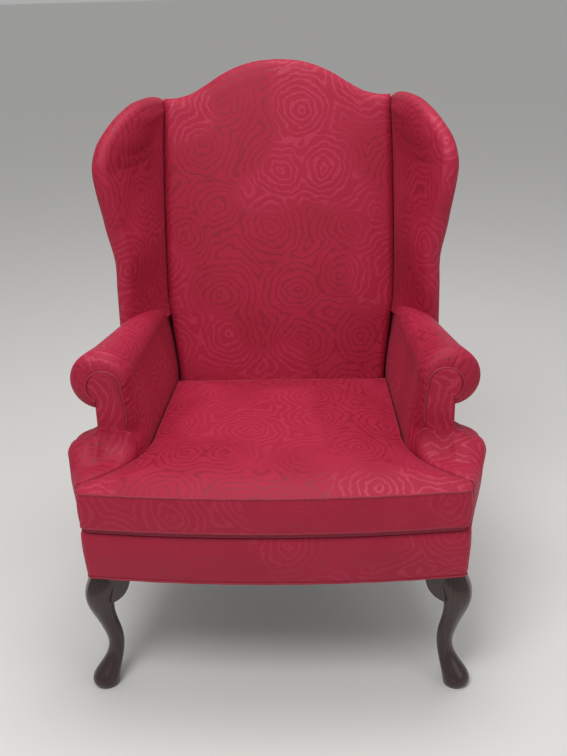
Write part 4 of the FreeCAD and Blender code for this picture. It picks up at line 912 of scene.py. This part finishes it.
def welt_group():
    group = bpy.data.node_groups.new("welt_cord", "GeometryNodeTree")
    group.interface.new_socket("Seam", in_out="INPUT", socket_type="NodeSocketGeometry")
    group.interface.new_socket("Radius", in_out="INPUT", socket_type="NodeSocketFloat")
    group.interface.new_socket("Sides", in_out="INPUT", socket_type="NodeSocketInt")
    group.interface.new_socket("Cloth", in_out="INPUT", socket_type="NodeSocketMaterial")
    group.interface.new_socket("Welt", in_out="OUTPUT", socket_type="NodeSocketGeometry")
    start = group.nodes.new("NodeGroupInput")
    end = group.nodes.new("NodeGroupOutput")
    link = group.links.new
    line = group.nodes.new("GeometryNodeMeshToCurve")
    ring = group.nodes.new("GeometryNodeCurvePrimitiveCircle")
    tube = group.nodes.new("GeometryNodeCurveToMesh")
    tube.inputs["Fill Caps"].default_value = True
    real = group.nodes.new("GeometryNodeRealizeInstances")
    paint = group.nodes.new("GeometryNodeSetMaterial")
    link(start.outputs["Seam"], line.inputs[0])
    link(start.outputs["Sides"], ring.inputs["Resolution"])
    link(start.outputs["Radius"], ring.inputs["Radius"])
    link(line.outputs[0], tube.inputs["Curve"])
    link(ring.outputs[0], tube.inputs["Profile Curve"])
    link(tube.outputs[0], real.inputs[0])
    link(real.outputs[0], paint.inputs["Geometry"])
    link(start.outputs["Cloth"], paint.inputs["Material"])
    link(paint.outputs[0], end.inputs[0])
    return group


welt_material = welt_cloth()
cord_group = welt_group()


def welt(name, line, body, replaced, closed=False):
    """A welt along points in millimetres, made by the node group and kept as a plain mesh."""
    line = np.array(line, float) / 1000
    count = len(line)
    edges = [(k, k + 1) for k in range(count - 1)] + ([(count - 1, 0)] if closed else [])
    mesh = bpy.data.meshes.new(name)
    mesh.from_pydata(line.tolist(), edges, [])
    guide = bpy.data.objects.new(name + "_line", mesh)
    bpy.context.scene.collection.objects.link(guide)
    step = guide.modifiers.new("welt", "NODES")
    step.node_group = cord_group
    sockets = {item.name: item.identifier for item in cord_group.interface.items_tree}
    step[sockets["Radius"]] = WELT_RADIUS / 1000
    step[sockets["Sides"]] = WELT_SIDES
    step[sockets["Cloth"]] = welt_material
    graph = bpy.context.evaluated_depsgraph_get()
    solid = bpy.data.meshes.new_from_object(guide.evaluated_get(graph))
    solid.name = name
    bpy.data.objects.remove(guide)
    piece = bpy.data.objects.new(name, solid)
    bpy.context.scene.collection.objects.link(piece)
    solid.shade_smooth()
    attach(piece, body)
    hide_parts(*replaced)


def seam_line(z, inset):
    edge, outward, around, girth = cushion_ring()
    wave = 0.35 * np.sin(around * 0.13 + np.sin(around * 0.05))
    line = level(edge - outward * inset, z)
    line[:, 2] += wave
    return line


welt("top_welt", seam_line(TOP_SEAM_Z, 2.2), "seat_cushion", ["cushion_top_welt"], closed=True)
welt("bottom_welt", seam_line(387.2, 2.6), "seat_cushion", ["cushion_bottom_welt"], closed=True)


def panel_line():
    """Line of the panel's welt: up its inner edge and round its scroll."""
    turn = np.linspace(math.pi, math.radians(-59), 60)
    low = [(float(scroll_edge(z)), z) for z in np.linspace(516, 602, 40)]
    up = [(SCROLL_X + SCROLL_RADIUS * math.cos(a), SCROLL_Z + SCROLL_RADIUS * math.sin(a)) for a in turn]
    # the lower end dives under the cover where the toe begins
    return [(x - 0.5, PANEL_Y + 6 * max(0, (530 - z) / 14) ** 2, z) for x, z in low + up]


for side, sign in (("right", 1), ("left", -1)):
    line = [(x * sign, y, z) for x, y, z in panel_line()]
    welt(side + "_panel_welt", line, "chair", [side + "_arm_panel_welt"])


# Front border: a stuffed strip over the bowed front rail, fuller above than below, tacked under
# the rail. A welt runs along its lower edge.

BORDER_BOTTOM, BORDER_TOP = 271, 371


def border_line():
    """Path round the border from its left end to its right end, with the way outward."""
    right = bowed(-356, 346, 90)
    right += arc_points((346, -357.6), (FRONT_HALF, -346.6), (346, -346.6), 9)
    right += [(FRONT_HALF, y) for y in np.linspace(-346.6, -335.3, 5)]
    line = np.array([(-x, y) for x, y in right[::-1]][:-1] + right)
    ahead = np.gradient(line, axis=0)
    ahead /= np.linalg.norm(ahead, axis=1)[:, None]
    return line, np.stack([ahead[:, 1], -ahead[:, 0]], -1)


def border_swell(z):
    """How far the stuffing stands out at height z, sideways and forwards."""
    heights = [262, 270, 301, 343, 362, 370, 380]
    return np.array([float(through(heights, [-2, 0.5, 3, 4.5, 4, 1.0, -3], z)),
                     float(through(heights, [-3, 0.5, 7, 13, 13.5, 8.5, 0], z))])


def border_grid():
    line, outward = border_line()
    length = walked(*line.T)
    rows, places = [], []
    ripple = 0.16 * np.sin(length * 0.33 + 3 * np.sin(length * 0.02))

    def add_row(path, z, cloth_z):
        rows.append(np.column_stack([path, np.full(len(line), z)]))
        places.append(np.column_stack([length, np.full(len(line), cloth_z)]))

    for inset in np.linspace(24, 1, 6):
        add_row(line - outward * inset, 270.6, 262 - inset)
    for z in np.linspace(BORDER_BOTTOM, BORDER_TOP, 44):
        fold = ripple * (math.exp(-(z - BORDER_BOTTOM) / 12) + math.exp(-(BORDER_TOP - z) / 10))
        add_row(line + outward * border_swell(z) + outward * fold[:, None] * 0.6, z, z)
    for turn in np.linspace(0.15, 1, 8):
        inset = turn * 19
        height = BORDER_TOP + 2.6 * math.sin(min(1, turn * 1.6) * math.pi / 2)
        add_row(line + outward * (border_swell(BORDER_TOP) - inset), height, BORDER_TOP + inset)
    return np.array(rows), np.array(places)


points, places = border_grid()
cover("front_border_cover", points, places, quiet_cloth, "chair", ["front_border"],
      shift=(0.27, 1.93))
line, outward = border_line()
low = line - outward * 0.6
welt("lower_welt", [(x, y, 267.8 + 0.3 * math.sin(x * 0.09)) for x, y in low], "chair", ["base_welt"])


# Outside back: one flat piece of the covering, drawn tight over the rear of the frame after the
# rest is done, its edges turned under and slip-stitched along the posts and the crest.

OUTSIDE_DEPTH = 96.8


def rear_grid():
    across = np.linspace(-1, 1, 121)
    from_middle = np.abs(across) * SHOULDER_HALF
    low = up_at(268.5, 97)
    top = crest_up(np.minimum(from_middle, 250)) - 2.5
    top = top - np.clip((from_middle - 262) / 12, 0, 1) ** 2 * 8
    rows, places = [], []
    for climb in np.linspace(0, 1, 121):
        up = low + climb * (top - low)
        half = OUTSIDE_HALF + (SHOULDER_HALF - OUTSIDE_HALF) * np.clip((up - low) / (612 - low), 0, 1)
        side_rim = np.clip((np.abs(across) - 0.975) / 0.025, 0, 1)
        end_rim = np.clip(max((climb - 0.985) / 0.015, (0.012 - climb) / 0.012), 0, 1)
        rim = np.maximum(side_rim, end_rim)
        slack = 1.2 * np.sin(climb * math.pi) * np.cos(across * math.pi / 2) - 0.6
        depth = OUTSIDE_DEPTH - 7.8 * (1 - np.sqrt(1 - rim ** 2)) + slack
        rows.append(lean(across * half, up, depth))
        places.append(np.stack([across * half, up], -1))
    return np.array(rows), np.array(places)


points, places = rear_grid()
cover("outside_back_cover", points, places, cloth, "chair", ["outside_back"], shift=(1.51, 2.33))


# Show wood: the legs, their posts and the knee blocks are solid mahogany, stained dark red-brown,
# with long pores under a rubbed varnish. The frame inside is plain unvarnished beech.

def timber(name, light, dark, rough, coat, grain):
    material, tree, shader = new_material(name)
    link = tree.links.new
    place = add(tree, "ShaderNodeTexCoord")
    stretch = add(tree, "ShaderNodeMapping", {"Scale": grain})
    link(place.outputs["Object"], stretch.inputs["Vector"])
    rings = add(tree, "ShaderNodeTexWave", wave_type="BANDS", bands_direction="X")
    set_inputs(rings, {"Scale": 5, "Distortion": 9, "Detail": 3})
    pores = add(tree, "ShaderNodeTexNoise", {"Scale": 60, "Detail": 5})
    link(stretch.outputs[0], rings.inputs["Vector"])
    link(stretch.outputs[0], pores.inputs["Vector"])
    blend = math_node(tree, "MULTIPLY", rings.outputs["Fac"], pores.outputs["Fac"])
    link(colour_mix(tree, dark, light, blend), shader.inputs["Base Color"])
    shine = add(tree, "ShaderNodeMapRange", {"To Min": rough - 0.08, "To Max": rough + 0.1})
    link(pores.outputs["Fac"], shine.inputs["Value"])
    link(shine.outputs[0], shader.inputs["Roughness"])
    set_inputs(shader, {"Coat Weight": coat, "Coat Roughness": 0.14})
    bump_from(tree, shader, pores.outputs["Fac"], 0.12, 0.0004)
    return material


mahogany = timber("mahogany", (0.055, 0.012, 0.008, 1), (0.014, 0.004, 0.004, 1), 0.34, 0.45, (9, 9, 1.2))
frame_timber = timber("frame_wood", (0.62, 0.44, 0.26, 1), (0.42, 0.27, 0.15, 1), 0.62, 0.0, (7, 7, 1))


# Inner pieces: jute webbing, the seat's deck cloth, the black dust cloth under the rails, the
# cushion's foam and the spring steel. None has a pattern, so each gets one plain finish.

def plain(name, light, dark, rough, scale, metal=0.0, bumpy=0.3, woven=False):
    material, tree, shader = new_material(name)
    link = tree.links.new
    place = add(tree, "ShaderNodeTexCoord")
    if woven:
        source = add(tree, "ShaderNodeTexWave", wave_type="BANDS", bands_direction="DIAGONAL")
        source.inputs["Distortion"].default_value = 0.8
    else:
        source = add(tree, "ShaderNodeTexNoise", {"Detail": 4})
    source.inputs["Scale"].default_value = scale
    link(place.outputs["Object"], source.inputs["Vector"])
    link(colour_mix(tree, dark, light, source.outputs["Fac"]), shader.inputs["Base Color"])
    set_inputs(shader, {"Roughness": rough, "Metallic": metal})
    bump_from(tree, shader, source.outputs["Fac"], bumpy, 0.0005)
    return material


finishes = {
    "mahogany": mahogany,
    "frame_wood": frame_timber,
    "webbing": plain("webbing", (0.58, 0.44, 0.25, 1), (0.36, 0.26, 0.14, 1), 0.85, 150, woven=True),
    "deck_cloth": plain("deck_cloth", (0.30, 0.020, 0.045, 1), (0.20, 0.012, 0.03, 1), 0.8, 170, woven=True),
    "dust_cloth": plain("dust_cloth", (0.035, 0.035, 0.038, 1), (0.015, 0.015, 0.017, 1), 0.9, 220,
                        woven=True),
    "foam": plain("foam", (0.86, 0.80, 0.60, 1), (0.70, 0.62, 0.42, 1), 0.95, 240),
    "spring_steel": plain("spring_steel", (0.50, 0.50, 0.50, 1), (0.30, 0.30, 0.31, 1), 0.36, 60,
                          metal=1.0, bumpy=0.1),
    "damask": cloth,
    "welt_fabric": welt_material,
}
for part in frame["record"]["subparts"]:
    node = nodes[part["node"]]
    node.data.materials.clear()
    node.data.materials.append(finishes[part["material_slot"]])


# Floor and light: a plain pale floor, wide enough to reach the horizon, and soft light from three
# square lamps above and in front, with an even white sky.

FLOOR_REACH = 400
FLOOR_COLOUR = (0.74, 0.73, 0.71, 1)
SKY_STRENGTH = 0.42
LAMP_AIM = Vector((0, 0, 0.6))


def stage():
    corners = [(x * FLOOR_REACH, y * FLOOR_REACH, 0) for x, y in ((-1, -1), (1, -1), (1, 1), (-1, 1))]
    mesh = bpy.data.meshes.new("floor")
    mesh.from_pydata(corners, [], [(0, 1, 2, 3)])
    floor = bpy.data.objects.new("floor", mesh)
    bpy.context.scene.collection.objects.link(floor)
    material, tree, shader = new_material("floor")
    set_inputs(shader, {"Base Color": FLOOR_COLOUR, "Roughness": 0.6})
    mesh.materials.append(material)
    world = bpy.data.worlds.new("world")
    world.use_nodes = True
    set_inputs(world.node_tree.nodes["Background"], {"Color": (1, 1, 1, 1), "Strength": SKY_STRENGTH})
    bpy.context.scene.world = world
    for name, place, power, size in (("key", (-0.8, -2.0, 3.5), 62, 1.5), ("fill", (2.6, -1.8, 2.2), 9, 2.0),
                                     ("top", (0.2, 0.2, 3.4), 34, 1.4)):
        lamp = bpy.data.lights.new(name, "AREA")
        lamp.energy = power
        lamp.size = size
        holder = bpy.data.objects.new(name, lamp)
        holder.location = place
        holder.rotation_euler = (LAMP_AIM - Vector(place)).to_track_quat("-Z", "Y").to_euler()
        bpy.context.scene.collection.objects.link(holder)
    bpy.context.scene.view_settings.view_transform = "Standard"


stage()
